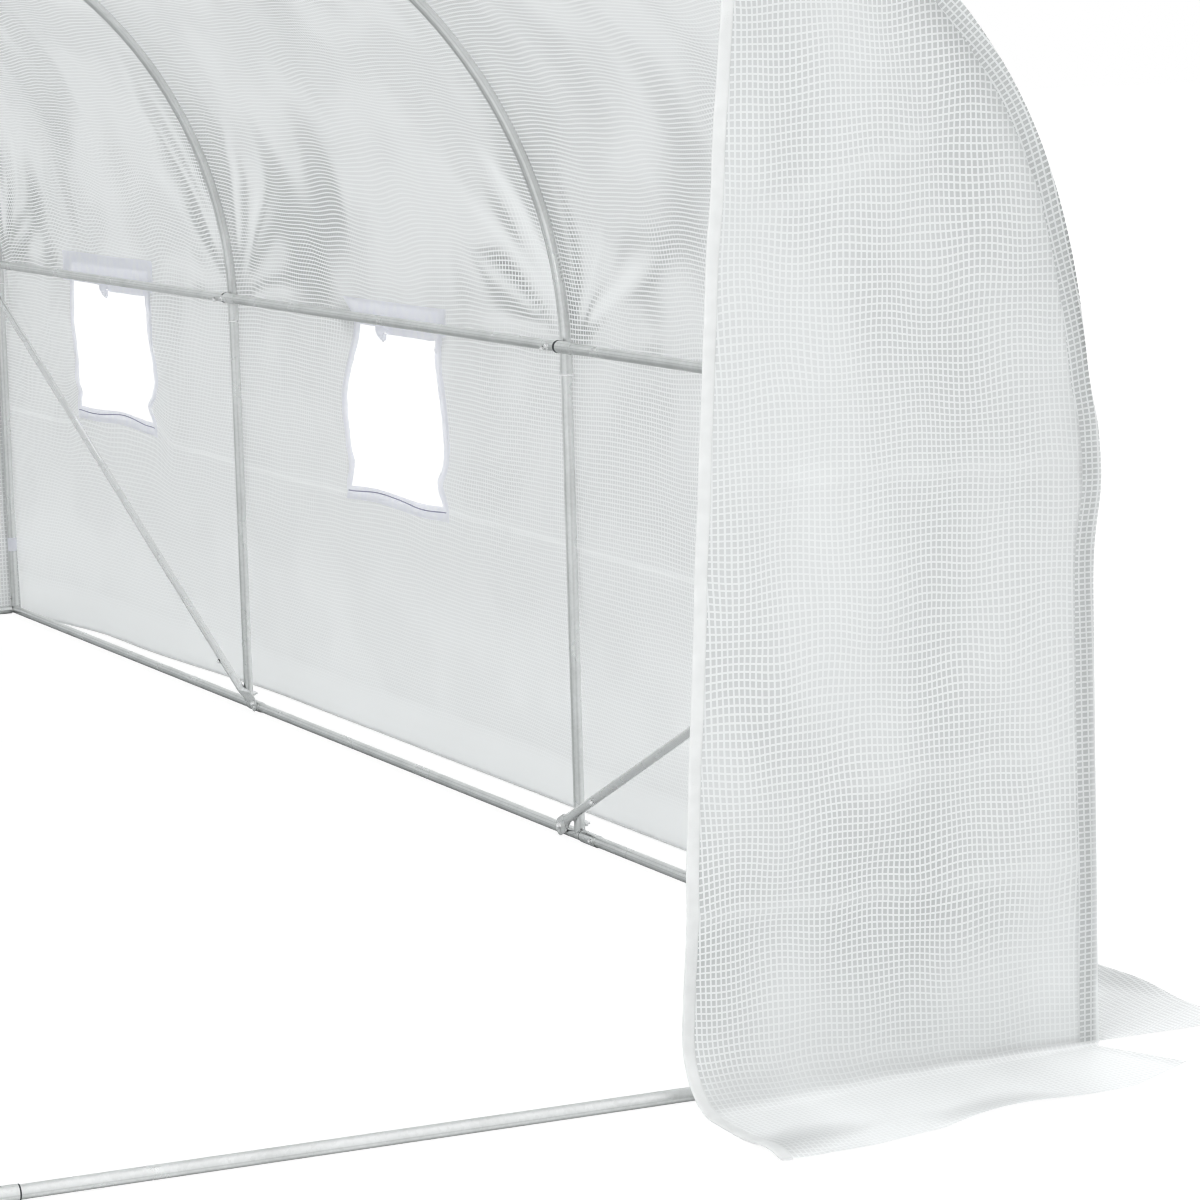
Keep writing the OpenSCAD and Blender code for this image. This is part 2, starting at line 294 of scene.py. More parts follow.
class SteelSettings(PropertyGroup):
    """Colours of the galvanised tubes and bolts."""

    colour: FloatVectorProperty(
        name="Zinc colour", description="Colour of the zinc", subtype="COLOR", default=(0.88, 0.89, 0.885)
    )
    dull_colour: FloatVectorProperty(
        name="Dull zinc colour", description="Colour of the dull patches", subtype="COLOR",
        default=(0.70, 0.71, 0.70),
    )


class ViewSettings(PropertyGroup):
    """Camera place, relative to the foot of the right front leg."""

    place: FloatVectorProperty(
        name="Camera place", description="Camera place from the right front leg's foot",
        subtype="TRANSLATION", default=(-3.3886, -5.6241, 1.6516),
    )
    yaw: FloatProperty(
        name="Yaw", description="Turn to the right", subtype="ANGLE", default=np.radians(24.474)
    )
    pitch: FloatProperty(name="Pitch", description="Tilt down", subtype="ANGLE", default=np.radians(7.978))
    roll: FloatProperty(name="Roll", description="Roll", subtype="ANGLE", default=np.radians(-1.617))
    lens: FloatProperty(name="Lens", description="Focal length in millimetres", default=125.67)


# Node helpers
def link_node(tree, kind, inputs=None, **settings):
    """Add a node; inputs maps a socket's name or index to a value or to another node's output."""
    item = tree.nodes.new(kind)
    for key, value in settings.items():
        setattr(item, key, value)
    for key, value in (inputs or {}).items():
        if isinstance(value, bpy.types.NodeSocket):
            tree.links.new(value, item.inputs[key])
        else:
            item.inputs[key].default_value = value
    return item


def new_material(name):
    """An empty node material and its tree."""
    material = bpy.data.materials.new(name)
    material.use_nodes = True
    material.node_tree.nodes.clear()
    return material, material.node_tree


def close_material(tree, shader):
    """Wire a shader to the material's output."""
    output = tree.nodes.new("ShaderNodeOutputMaterial")
    tree.links.new(shader, output.inputs["Surface"])


def colour(value):
    """A colour with full alpha."""
    return (*value, 1.0)


def mix_colour(tree, factor, first, second):
    """The output of a colour mix."""
    return link_node(tree, "ShaderNodeMix", {0: factor, 6: first, 7: second}, data_type="RGBA").outputs[2]


def map_range(tree, value, from_low, from_high, to_low, to_high, smooth=False):
    """The output of a clamped map of one range to another."""
    item = link_node(
        tree, "ShaderNodeMapRange",
        {"Value": value, "From Min": from_low, "From Max": from_high, "To Min": to_low, "To Max": to_high},
        interpolation_type="SMOOTHSTEP" if smooth else "LINEAR",
    )
    return item.outputs["Result"]


def maths(tree, operation, first, second=0.0):
    """The output of one maths step on two values."""
    return link_node(tree, "ShaderNodeMath", {0: first, 1: second}, operation=operation).outputs[0]


def noise(tree, coords, scale, detail=2.0):
    """The value of a noise at object coordinates."""
    return link_node(
        tree, "ShaderNodeTexNoise", {"Vector": coords, "Scale": scale, "Detail": detail, "Roughness": 0.5}
    ).outputs["Fac"]


def ramp(tree, value, stops):
    """The output of a grey ramp through (place, level) stops."""
    item = link_node(tree, "ShaderNodeValToRGB", {"Fac": value})
    bar = item.color_ramp.elements
    while len(bar) < len(stops):
        bar.new(0.5)
    for mark, (place, level) in zip(bar, stops):
        mark.position = place
        mark.color = (level, level, level, 1.0)
    return item.outputs["Color"]


# Materials
def film_material(film, name="reinforced_film", let_through=0.5):
    """Translucent film with a grid of white threads, drawn from a UV map in metres. The clear attribute says
    how clear the cells are, and below zero how far they are as white as the threads; below -0.15 it also
    lifts the tone, painted light that brightens the whitest film, such as the shaded foot of the walls. Film
    that lies on the ground lets little light through."""
    material, tree = new_material(name)
    uv = link_node(tree, "ShaderNodeUVMap", uv_map="UVMap").outputs["UV"]
    axes = link_node(tree, "ShaderNodeSeparateXYZ", {0: uv})
    place = link_node(tree, "ShaderNodeTexCoord").outputs["Object"]
    clear = link_node(tree, "ShaderNodeAttribute", attribute_name="clear").outputs["Fac"]
    lines = []
    for axis, pitch in (("X", film.pitch_across), ("Y", film.pitch_along)):
        wave = maths(tree, "PINGPONG", axes.outputs[axis], pitch / 2)
        core, rim = film.thread_w * 0.34, film.thread_w * 0.62
        lines.append(map_range(tree, wave, core, rim, 1.0, 0.0, smooth=True))
    thread = maths(tree, "MAXIMUM", lines[0], lines[1])
    dim = map_range(tree, clear, 0.0, 1.0, 0.0, 1.0)
    cell = mix_colour(tree, dim, colour(film.cell_colour), colour(film.clear_colour))
    white = maths(tree, "MAXIMUM", thread, map_range(tree, clear, -1.0, 0.0, 1.0, 0.0))
    tone = mix_colour(tree, white, cell, colour(film.thread_colour))
    # Painted light: the whitest film is lifted above its own tone to brighten the shaded foot of the walls
    painted_lift = map_range(tree, clear, -0.6, -0.15, film.painted_lift, 1.0)
    tone = link_node(tree, "ShaderNodeVectorMath", {0: tone, "Scale": painted_lift}, operation="SCALE").outputs[0]
    skin = link_node(
        tree, "ShaderNodeBsdfPrincipled", {"Base Color": tone, "Roughness": 0.42, "Specular IOR Level": 0.35}
    ).outputs[0]
    glow = link_node(tree, "ShaderNodeBsdfTranslucent", {"Color": tone}).outputs[0]
    height = link_node(tree, "ShaderNodeSeparateXYZ", {0: place}).outputs["Z"]
    share = map_range(tree, height, *LYING_Z, 0.06, let_through)
    close_material(tree, link_node(tree, "ShaderNodeMixShader", {0: share, 1: skin, 2: glow}).outputs[0])
    return material


def webbing_material(name, tint, share, painted_lift):
    """Woven white tape: a fine diagonal weave in colour and bump, with a share of the light let through and a
    faint painted glow, painted light that lifts the tape where it is shaded."""
    material, tree = new_material(name)
    place = link_node(tree, "ShaderNodeTexCoord").outputs["Object"]
    wave = link_node(
        tree, "ShaderNodeTexWave", {"Vector": place, "Scale": 900.0, "Distortion": 0.4},
        bands_direction="DIAGONAL",
    ).outputs["Fac"]
    cloud = noise(tree, place, 30.0)
    shade = tuple(0.94 * value for value in tint)
    base = mix_colour(tree, map_range(tree, cloud, 0.35, 0.65, 0.0, 1.0), colour(tint), colour(shade))
    tone = mix_colour(tree, maths(tree, "MULTIPLY", wave, 0.25), base, colour(shade))
    bump = link_node(
        tree, "ShaderNodeBump", {"Strength": 0.3, "Distance": 0.0004, "Height": wave}
    ).outputs[0]
    # The emission is a painted glow that lifts shaded tape, not a lamp
    cloth = link_node(
        tree, "ShaderNodeBsdfPrincipled",
        {"Base Color": tone, "Roughness": 0.75, "Specular IOR Level": 0.2, "Normal": bump,
         "Emission Color": colour(tint), "Emission Strength": painted_lift},
    ).outputs[0]
    glow = link_node(tree, "ShaderNodeBsdfTranslucent", {"Color": tone}).outputs[0]
    close_material(tree, link_node(tree, "ShaderNodeMixShader", {0: share, 1: cloth, 2: glow}).outputs[0])
    return material


def steel_material(steel, name="galvanised_tube", shine=0.0):
    """Galvanised steel: zinc spangle, dull patches and a faint drawn grain, with painted reflections: light
    and dark streaks along the tubes and a tone lighter towards the sky and the front, set by the way the
    surface faces."""
    material, tree = new_material(name)
    place = link_node(tree, "ShaderNodeTexCoord").outputs["Object"]
    spangle = link_node(
        tree, "ShaderNodeTexVoronoi", {"Vector": place, "Scale": 190.0, "Randomness": 1.0}
    ).outputs["Color"]
    grain = link_node(tree, "ShaderNodeSeparateColor", {0: spangle}).outputs[0]
    cloud = noise(tree, place, 9.0, 4.0)
    dull = map_range(tree, cloud, 0.42, 0.78, 0.0, 0.6)
    patch = maths(tree, "ADD", maths(tree, "MULTIPLY", grain, 0.30), dull)
    zinc = mix_colour(tree, patch, colour(steel.colour), colour(steel.dull_colour))
    # Painted reflections: the zinc's tone is scaled by a ramp of the way the surface faces
    facing = link_node(tree, "ShaderNodeNewGeometry").outputs["Normal"]
    turn = link_node(
        tree, "ShaderNodeVectorMath", {0: facing, 1: PAINTED_LIGHT_WAY}, operation="DOT_PRODUCT"
    ).outputs["Value"]
    painted_reflection = ramp(tree, map_range(tree, turn, -1.0, 1.0, 0.0, 1.0), TUBE_PAINTED_REFLECTIONS)
    zinc_with_painted_reflection = link_node(
        tree, "ShaderNodeVectorMath", {0: zinc, 1: painted_reflection}, operation="MULTIPLY"
    ).outputs[0]
    tone = mix_colour(tree, shine, zinc_with_painted_reflection, colour((0.97, 0.97, 0.97)))
    rough = map_range(tree, cloud, 0.3, 0.7, 0.24 - 0.06 * shine, 0.38 - 0.12 * shine)
    fine = noise(tree, place, 700.0, 2.0)
    bump = link_node(
        tree, "ShaderNodeBump", {"Strength": 0.08, "Distance": 0.0005, "Height": fine}
    ).outputs[0]
    metal = link_node(
        tree, "ShaderNodeBsdfPrincipled",
        {"Base Color": tone, "Metallic": 1.0, "Roughness": rough, "Normal": bump},
    ).outputs[0]
    close_material(tree, metal)
    return material


def plain_material(name, tint, roughness):
    """A dull finish with a faint mottle, for the zip thread, and for the dark rings of painted shade in the
    joints' gaps.
    """
    material, tree = new_material(name)
    place = link_node(tree, "ShaderNodeTexCoord").outputs["Object"]
    darker = tuple(0.8 * value for value in tint)
    tone = mix_colour(tree, noise(tree, place, 120.0), colour(tint), colour(darker))
    close_material(
        tree,
        link_node(tree, "ShaderNodeBsdfPrincipled", {"Base Color": tone, "Roughness": roughness}).outputs[0],
    )
    return material


def material_of(name):
    """A material made earlier by the finishes operator."""
    return bpy.data.materials[name]


# Mesh helpers
def smooth_step(value, start, end):
    """0 before start, 1 after end and an S curve between."""
    t = np.clip((value - start) / (end - start), 0.0, 1.0)
    return t * t * (3 - 2 * t)


def bell(value, width):
    """1 at zero, and falling off on both sides over a width."""
    return np.exp(-((value / width) ** 2))


def waves(u, v, seed, count=9, longest=0.9, shortest=0.12):
    """A smooth field of about -1 to 1: a sum of sines of random direction, phase and wavelength."""
    rng = np.random.default_rng(seed)
    total = np.zeros(np.broadcast(u, v).shape)
    for length in np.geomspace(longest, shortest, count):
        turn = rng.uniform(0, np.pi)
        phase = rng.uniform(0, 2 * np.pi)
        total += length**0.7 * np.sin(2 * np.pi * (u * np.cos(turn) + v * np.sin(turn)) / length + phase)
    return total / (np.geomspace(longest, shortest, count) ** 0.7).sum() * 2.2


def sheet(points, uv, keep=None, clear=None):
    """A grid of points as one sheet of quads, without the cells that aren't kept. Returns vertices, quads,
    uv and, where it is given, the clear attribute per vertex."""
    rows, columns = points.shape[:2]
    index = np.arange(rows * columns).reshape(rows, columns)
    cells = np.stack([index[:-1, :-1], index[1:, :-1], index[1:, 1:], index[:-1, 1:]], axis=-1)
    cells = cells.reshape(-1, 4) if keep is None else cells[keep]
    used, compact = np.unique(cells, return_inverse=True)
    part = points.reshape(-1, 3)[used], compact.reshape(cells.shape), uv.reshape(-1, 2)[used]
    return part if clear is None else (*part, clear.reshape(-1)[used])


def ring_quads(count, sides):
    """Quads between rings of points that follow each other."""
    index = np.arange(count * sides).reshape(count, sides)
    after = np.roll(index, -1, axis=1)
    return np.stack([index[:-1], after[:-1], after[1:], index[1:]], axis=-1).reshape(-1, 4)


def capped(rings, first, last):
    """Rings of points, closed by a ring collapsed to a point at each end."""
    shape = (1, *rings.shape[1:])
    return np.concatenate([np.broadcast_to(first, shape), rings, np.broadcast_to(last, shape)])


def tube(path, radius, sides, squash=None):
    """A closed tube along a path: an ellipse of the given radii at each point, square to the path, with the
    first radius across and the second towards X. The ends are closed by collapsed rings."""
    path = np.asarray(path, float)
    radius = np.broadcast_to(np.asarray(radius, float), len(path))
    depth = radius if squash is None else np.asarray(squash, float)
    direction = np.gradient(path, axis=0)
    direction /= np.linalg.norm(direction, axis=1, keepdims=True)
    front = np.broadcast_to(np.array([1.0, 0.0, 0.0]), path.shape)
    front = front - direction * (front * direction).sum(1, keepdims=True)
    front /= np.linalg.norm(front, axis=1, keepdims=True)
    across = np.cross(direction, front)
    turn = np.linspace(0, 2 * np.pi, sides, endpoint=False)
    ring = (
        path[:, None]
        + across[:, None] * (radius[:, None] * np.cos(turn))[..., None]
        + front[:, None] * (depth[:, None] * np.sin(turn))[..., None]
    )
    ring = capped(ring, path[0], path[-1])
    count = len(ring)
    length = np.concatenate([[0.0], np.cumsum(np.linalg.norm(np.diff(path, axis=0), axis=1))])
    length = np.concatenate([length[:1], length, length[-1:]])
    around = np.broadcast_to(turn / (2 * np.pi) * 0.07, (count, sides))
    uv = np.stack([np.broadcast_to(length[:, None], (count, sides)), around], axis=-1)
    return ring.reshape(-1, 3), ring_quads(count, sides), uv.reshape(-1, 2)


def lathe(outline, place, axis, sides):
    """A turned solid: an outline of (radius, height) points carried round an axis through a place."""
    outline = np.asarray(outline, float)
    axis = np.asarray(axis, float) / np.linalg.norm(axis)
    helper = np.array([0.0, 0.0, 1.0]) if abs(axis[2]) < 0.9 else np.array([1.0, 0.0, 0.0])
    first = np.cross(helper, axis)
    first /= np.linalg.norm(first)
    second = np.cross(axis, first)
    turn = np.linspace(0, 2 * np.pi, sides, endpoint=False)
    round_axis = np.cos(turn)[:, None] * first + np.sin(turn)[:, None] * second
    points = (
        np.asarray(place, float)
        + outline[:, None, :1] * round_axis[None]
        + outline[:, None, 1:] * axis
    )
    count = len(outline)
    return points.reshape(-1, 3), ring_quads(count, sides), np.zeros((count * sides, 2))


def joined(parts):
    """Several (vertices, quads, uv) parts as one."""
    starts = np.cumsum([0] + [len(part[0]) for part in parts[:-1]])
    return (
        np.concatenate([part[0] for part in parts]),
        np.concatenate([part[1] + start for part, start in zip(parts, starts)]),
        np.concatenate([part[2] for part in parts]),
    )


def mirrored(part):
    """A part mirrored to the left-hand side, with its faces turned to point outwards again."""
    return part[0] * np.array([-1.0, 1.0, 1.0]), part[1][:, ::-1], *part[2:]


def as_made(part):
    """A part as it was made, for the right-hand side."""
    return part


SIDES = (("right", as_made), ("left", mirrored))


def make_object(name, part, material):
    """A mesh object from vertices, quads and uv, smooth but for edges over an angle. A fourth array gives the
    film's clear attribute."""
    vertices, quads, uv = part[:3]
    mesh = bpy.data.meshes.new(name)
    mesh.vertices.add(len(vertices))
    mesh.vertices.foreach_set("co", np.ascontiguousarray(vertices, np.float32).ravel())
    mesh.loops.add(quads.size)
    mesh.loops.foreach_set("vertex_index", np.ascontiguousarray(quads, np.int32).ravel())
    mesh.polygons.add(len(quads))
    mesh.polygons.foreach_set("loop_start", np.arange(0, quads.size, 4, dtype=np.int32))
    layer = mesh.uv_layers.new(name="UVMap")
    layer.data.foreach_set("uv", np.ascontiguousarray(uv[quads.ravel()], np.float32).ravel())
    if len(part) > 3:
        clear = mesh.attributes.new("clear", "FLOAT", "POINT")
        clear.data.foreach_set("value", np.ascontiguousarray(part[3], np.float32))
    mesh.update(calc_edges=True)
    mesh.validate()
    mesh.shade_smooth()
    mesh.set_sharp_from_angle(angle=SHARP_ANGLE)
    mesh.materials.append(material)
    piece = bpy.data.objects.new(name, mesh)
    bpy.context.scene.collection.objects.link(piece)
    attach(piece, ROOT)
    return piece


def clean_ends(piece):
    """Merge the collapsed end rings of tubes and lathes so that their poles are closed."""
    mesh = piece.data
    work = bmesh.new()
    work.from_mesh(mesh)
    bmesh.ops.remove_doubles(work, verts=work.verts, dist=1e-6)
    bmesh.ops.dissolve_degenerate(work, edges=work.edges, dist=1e-7)
    work.to_mesh(mesh)
    work.free()
    mesh.set_sharp_from_angle(angle=SHARP_ANGLE)
    return piece


# The cover's form
def profile(s):
    """Cross-section of the right half of the cover: x, z and the outward normal at distance s from the
    ridge. A crown arc, a shoulder arc and an upright line follow each other without a corner."""
    crown = np.clip(s, 0, CROWN_S) / (CROWN_R + FILM_OFF)
    bend = CROWN_A + np.clip(s - CROWN_S, 0, BEND_S - CROWN_S) / (SHOULDER_R + FILM_OFF)
    on_crown = s < CROWN_S
    turn = np.where(on_crown, crown, bend)
    radius = np.where(on_crown, CROWN_R, SHOULDER_R) + FILM_OFF
    x = np.where(on_crown, 0.0, SHOULDER_X) + radius * np.sin(turn)
    z = np.where(on_crown, CROWN_Z, BEND_Z) + radius * np.cos(turn)
    z = z - np.maximum(s - BEND_S, 0.0)
    return x, z, np.sin(turn), np.cos(turn)


def wall_lean(z):
    """Share of a side wall's lean at a height: 1 at the ground."""
    return np.clip(1 - z / LEAN_Z, 0, 1) ** LEAN_POWER


def bay_share(y):
    """How far y is through its bay, from 0 at one hoop to 1 at the next."""
    return np.clip((y - HOOP_Y[0]) / BAY, 0, 3) % 1.0


def from_seam(s, y):
    """Distance below the wavering seam along the sills."""
    return s - SILL_S - 0.012 - 0.006 * np.sin(3 * y)


def foot_reach(y, cover):
    """Reach of the wall's foot past the legs: least at the front corner, full in the bays, less behind."""
    free = smooth_step(y + END_Y, 0.0, 0.9)
    along = 0.045 * smooth_step(y, 0.36 * END_Y, 0.72 * END_Y)
    drawn_in = along + 0.066 * smooth_step(y, 0.78 * END_Y, END_Y)
    return cover.corner_reach + (cover.foot_reach - cover.corner_reach) * free - drawn_in


def end_loose(s):
    """Height of the loose film over the end hoops: over the shoulder, and just below the purlin."""
    up = BEND_S - s
    shoulder = 0.029 * smooth_step(up, 0.08, 0.62) * (1 - smooth_step(up, 0.85, 1.45))
    return shoulder + 0.017 * bell(up + BEND_Z - 0.915, 0.085)


def purlin_creases(s, y, cover):
    """Creases that fan out over the roof from where each hoop crosses the purlin: ridges along curved
    lines, rounded across and fading towards both ends."""
    rng = np.random.default_rng(CREASE_SEED)
    total = np.zeros(np.broadcast(s, y).shape)
    start_s = BEND_S - (PURLIN_Z - BEND_Z)
    for hoop in HOOP_Y:
        for toward in (-1, 1):
            for turn in np.radians((10, 24, 38, 52, 68)):
                lean = turn + rng.uniform(-0.08, 0.08)
                length = rng.uniform(0.45, 0.95)
                width = rng.uniform(0.012, 0.030)
                height = cover.crease * rng.uniform(0.5, 1.0) * rng.choice([-1, 1])
                bow = rng.uniform(-0.25, 0.35)
                up, aside = start_s - s, (y - hoop) * toward
                along = up * np.sin(lean) + aside * np.cos(lean)
                across = up * np.cos(lean) - aside * np.sin(lean) - bow * along**2
                far_end = smooth_step(along, 0.5 * length, length)
                fade = smooth_step(along, 0.02, 0.25 * length) * (1 - far_end)
                total += height * bell(across, width + 0.05 * along.clip(0)) * fade
    return total


def cover_relief(s, y, seed, cover):
    """Height of the film over its base form: sag of the roof between hoops, soft waves, creases, and
    nothing where a hoop holds it. The halves meet at the ridge, and the film never sinks into the tubes."""
    t = bay_share(y)
    between = np.sin(np.pi * t) ** 2
    free = 1 - bell(np.minimum(t, 1 - t) * BAY, 0.07)
    off_ridge = smooth_step(s, 0.0, 0.25)
    roof = np.cos(np.clip(s / BEND_S, 0, 1) * np.pi / 2)
    wall = smooth_step(s, BEND_S, BEND_S + 0.3)
    sag = -cover.sag * between * roof
    swell = 0.006 * between * wall
    soft = cover.ripple * waves(s, y, seed) * free * off_ridge
    fine = 0.25 * cover.ripple * waves(s, y, seed + 1, 12, 0.22, 0.05) * free * off_ridge
    pull = 0.9 * free * purlin_creases(s, y, cover)
    sill = 0.0016 * bell(from_seam(s, y), 0.006) * free
    knob_s = (s - BEND_S + PURLIN_Z - BEND_Z) / 0.045
    knob = 0.005 * np.exp(-(knob_s**2) - ((np.abs(y) - END_Y) / 0.05) ** 2)
    loose = end_loose(s) * bell(END_Y - np.abs(y), 0.3)
    lowest = -0.011 - 0.008 * roof
    return np.maximum(sag + swell + soft + fine + pull + sill, lowest) + knob + loose


def cover_clear(s, y, seed, cover):
    """How clear the film is: clear patches between the creases over the purlins, faint ones elsewhere, and
    white crests, sill seams, lower wall and foot. The white lower wall and foot are partly the film's own
    plainer look and partly painted light that lifts their shade."""
    high_zone = 0.45 * smooth_step(s, BEND_S - 1.5, BEND_S - 0.9)
    zone = high_zone + 0.55 * smooth_step(s, BEND_S - 0.62, BEND_S - 0.22)
    zone = zone * (1 - smooth_step(s, BEND_S - 0.06, BEND_S + 0.02))
    creases = purlin_creases(s, y, cover) / cover.crease
    t = bay_share(y)
    beside = bell(np.minimum(t, 1 - t), 0.24)
    field = 0.8 * waves(s * 0.55, y, seed + 7, 7, 0.8, 0.2) + 0.75 * beside - 0.30 - 1.2 * creases
    faint = 0.26 * smooth_step(waves(s, y * 0.8, seed + 8, 8, 0.7, 0.15), -0.4, 0.7)
    faint = faint * (1 - 0.6 * smooth_step(s, BEND_S, BEND_S + 0.2))
    clear = np.maximum(zone * smooth_step(field, -0.1, 0.75), faint)
    crest = smooth_step(np.abs(creases), 0.3, 1.1)
    # Partly the lower wall's own plainer look, partly painted light that lifts the shaded foot
    low_wall = 0.55 * smooth_step(s, SILL_S - 0.1, GROUND_S - 0.10)
    foot = smooth_step(s, GROUND_S - 0.11, GROUND_S - 0.09)
    seam = bell(from_seam(s, y), 0.007)
    return (clear * (1 - crest) - 0.4 * crest - low_wall - 0.36 * seam) * (1 - foot) - foot


def window_warp(s, y):
    """Shift of the film along the tunnel and down the wall round the windows: the back edge bows outwards,
    the front edge wavers, the sill waves, and the shift fades with distance from the opening."""
    shift_y = np.zeros(np.broadcast(s, y).shape)
    shift_s = np.zeros_like(shift_y)
    t = np.clip((s - HOLE_TOP_S) / (SILL_S - HOLE_TOP_S), -0.3, 1.3)
    past = np.maximum(np.maximum(HOLE_TOP_S - s, s - SILL_S), 0)
    near_s = bell(past, 0.06)
    for number, place in enumerate(BAY_Y):
        high_bow = np.sin(np.pi * np.clip(t, 0, 1) ** (1.25 - 0.1 * number))
        pinch = bell(t - 0.87, 0.085)
        whole, corner, bulge = BACK_EDGE[number]
        bow = whole + corner * (1 - smooth_step(t, 0.0, 0.45)) + bulge * high_bow
        bow = bow - 0.014 * pinch + 0.012 * smooth_step(t, 0.85, 1.0)
        waver = 0.028 * bell(t - 0.6, 0.22) - 0.028 * pinch + 0.010 * smooth_step(t, 0.9, 1.0)
        for side, shift in ((1, bow), (-1, waver)):
            edge = place + side * WINDOW_W / 2
            near = bell(y - edge, 0.13)
            shift_y += side * (shift - 0.012) * near * near_s
        span = np.clip((y - place) / WINDOW_W, -0.8, 0.8)
        beside = bell(np.maximum(np.abs(span) - 0.5, 0), 0.2)
        ripple = 0.004 * np.sin(2 * np.pi * (1.1 * span + 0.21 + 0.3 * number))
        shift_s += beside * (ripple - SILL_RISE[number]) * bell(s - SILL_S, 0.11)
        droop = 0.014 * smooth_step(-span, -0.07, -0.01) * smooth_step(span, -0.62, -0.45)
        shift_s += droop * bell(s - HOLE_TOP_S, 0.03)
    return shift_s, shift_y


def film_at(s, y, seed, cover, lift=0.0):
    """Points of the right half of the cover at (s, y), moved out by the relief and a lift. Below the
    windows the wall leans out to its foot."""
    shift_s, shift_y = window_warp(s, y)
    s_now = np.minimum(s + shift_s, GROUND_S)
    x, z, out_x, out_z = profile(s_now)
    rise = cover_relief(s, y, seed, cover) * (1 - smooth_step(s, GROUND_S - 0.12, GROUND_S)) + lift
    x = x + foot_reach(y, cover) * wall_lean(z)
    return np.stack([x + rise * out_x, np.broadcast_to(y + shift_y, x.shape), z + rise * out_z], axis=-1)


def stations(*stretches):
    """Grid lines: each stretch is (end, step) after a first place, with the ends hit exactly."""
    places = [np.array([stretches[0]])]
    start = stretches[0]
    for end, step in stretches[1:]:
        count = max(int(np.ceil(abs(end - start) / step)), 1)
        places.append(np.linspace(start, end, count + 1)[1:])
        start = end
    return np.concatenate(places)


def cover_part(cover, seed, step):
    """Right half of the cover from the ridge to the ground, with its window openings, cut back to the seams
    of their tape, and a hem that is turned in over each end sheet."""
    cut_top, cut_sill = BAND_TOP_S + SEAM_LAP, SILL_S + SILL_TAPE - SEAM_LAP
    s = stations(
        0.0, (BEND_S - 0.6, 1.4 * step), (cut_top, 0.9 * step), (cut_sill - 0.02, 1.1 * step),
        (cut_sill, 0.005), (cut_sill + 0.02, 0.005), (GROUND_S - 0.10, 1.4 * step), (GROUND_S - 0.002, 0.02),
    )
    cut_half = WINDOW_W / 2 + BINDING_W - SEAM_LAP
    cuts = np.sort(np.concatenate([BAY_Y - cut_half, BAY_Y + cut_half]))
    end = END_Y + END_LAP
    y = stations(
        -end, (-end + 0.06, END_STEP), *((cut, step) for cut in cuts), (end - 0.06, step), (end, END_STEP)
    )
    grid_s, grid_y = np.meshgrid(s, y, indexing="ij")
    points = film_at(grid_s, grid_y, seed, cover)
    out_x, out_z = profile(s)[2:]
    out = np.stack([out_x, np.zeros_like(out_x), out_z], axis=-1)
    depths = np.linspace(0, HEM_W, 4)[1:]
    front_hem = [points[:, 0] - depth * out for depth in depths[::-1]]
    back_hem = [points[:, -1] - depth * out for depth in depths]
    points = np.concatenate([np.stack(front_hem, 1), points, np.stack(back_hem, 1)], axis=1)
    flat_y = np.concatenate([-end - depths[::-1], y, end + depths])
    thread_s, thread_y = np.meshgrid(s, flat_y, indexing="ij")
    slack = 0.004 + 0.008 * (1 - smooth_step(thread_s, BEND_S - 0.1, BEND_S + 0.1))
    waver_s = slack * waves(thread_s, thread_y, seed + 9, 8, 1.0, 0.22)
    waver_y = slack * waves(thread_s, thread_y, seed + 10, 8, 1.0, 0.22)
    uv = np.stack([thread_s + waver_s, thread_y + waver_y], axis=-1)
    clear = cover_clear(grid_s, grid_y, seed, cover)
    hem = np.ones((len(s), len(depths)))
    clear = np.concatenate([0.36 * hem, clear, -0.2 * hem], axis=1)
    mid_s = (s[:-1] + s[1:]) / 2
    mid_y = (flat_y[:-1] + flat_y[1:]) / 2
    in_height = (mid_s > cut_top) & (mid_s < cut_sill)
    in_width = (np.abs(mid_y[:, None] - BAY_Y[None, :]) < cut_half).any(1)
    return sheet(points, uv, ~(in_height[:, None] & in_width[None, :]), clear)


def tape_part(cover, seed):
    """Window tape on the inside of the right wall: a strip round each opening and, over it, a wider header
    band that reaches past the purlin."""
    parts = []
    for number, place in enumerate(BAY_Y):
        front, back = place - WINDOW_W / 2, place + WINDOW_W / 2
        top = BAND_TOP_S - BAND_RISE[number]
        past_front, past_back = BAND_PAST[number]
        s = stations(top, (HOLE_TOP_S, 0.011), (SILL_S, 0.012), (SILL_S + SILL_TAPE, 0.006))
        y = stations(
            front - past_front, (front - BINDING_W, 0.014), (front, 0.0085), (back, 0.0125),
            (back + BINDING_W, 0.0085), (back + past_back, 0.011),
        )
        grid_s, grid_y = np.meshgrid(s, y, indexing="ij")
        puff = 0.0015 * np.sin(np.pi * np.clip((grid_y - front + BINDING_W) / BINDING_W, 0, 1))
        pucker = 0.0016 * waves(grid_s * 2, grid_y, seed + 3 + number, 8, 0.16, 0.03)
        points = film_at(grid_s, grid_y, seed, cover, -0.0022 - puff - np.abs(pucker))
        mid_s = ((s[:-1] + s[1:]) / 2)[:, None]
        mid_y = ((y[:-1] + y[1:]) / 2)[None, :]
        hole = (mid_s > HOLE_TOP_S) & (mid_s < SILL_S) & (mid_y > front) & (mid_y < back)
        wing = (mid_s > HOLE_TOP_S) & ((mid_y < front - BINDING_W) | (mid_y > back + BINDING_W))
        parts.append(sheet(points, np.stack([grid_y, grid_s], axis=-1), ~(hole | wing)))
        parts.append(droop_part(place + 0.02, number, cover, seed))
    return joined(parts)


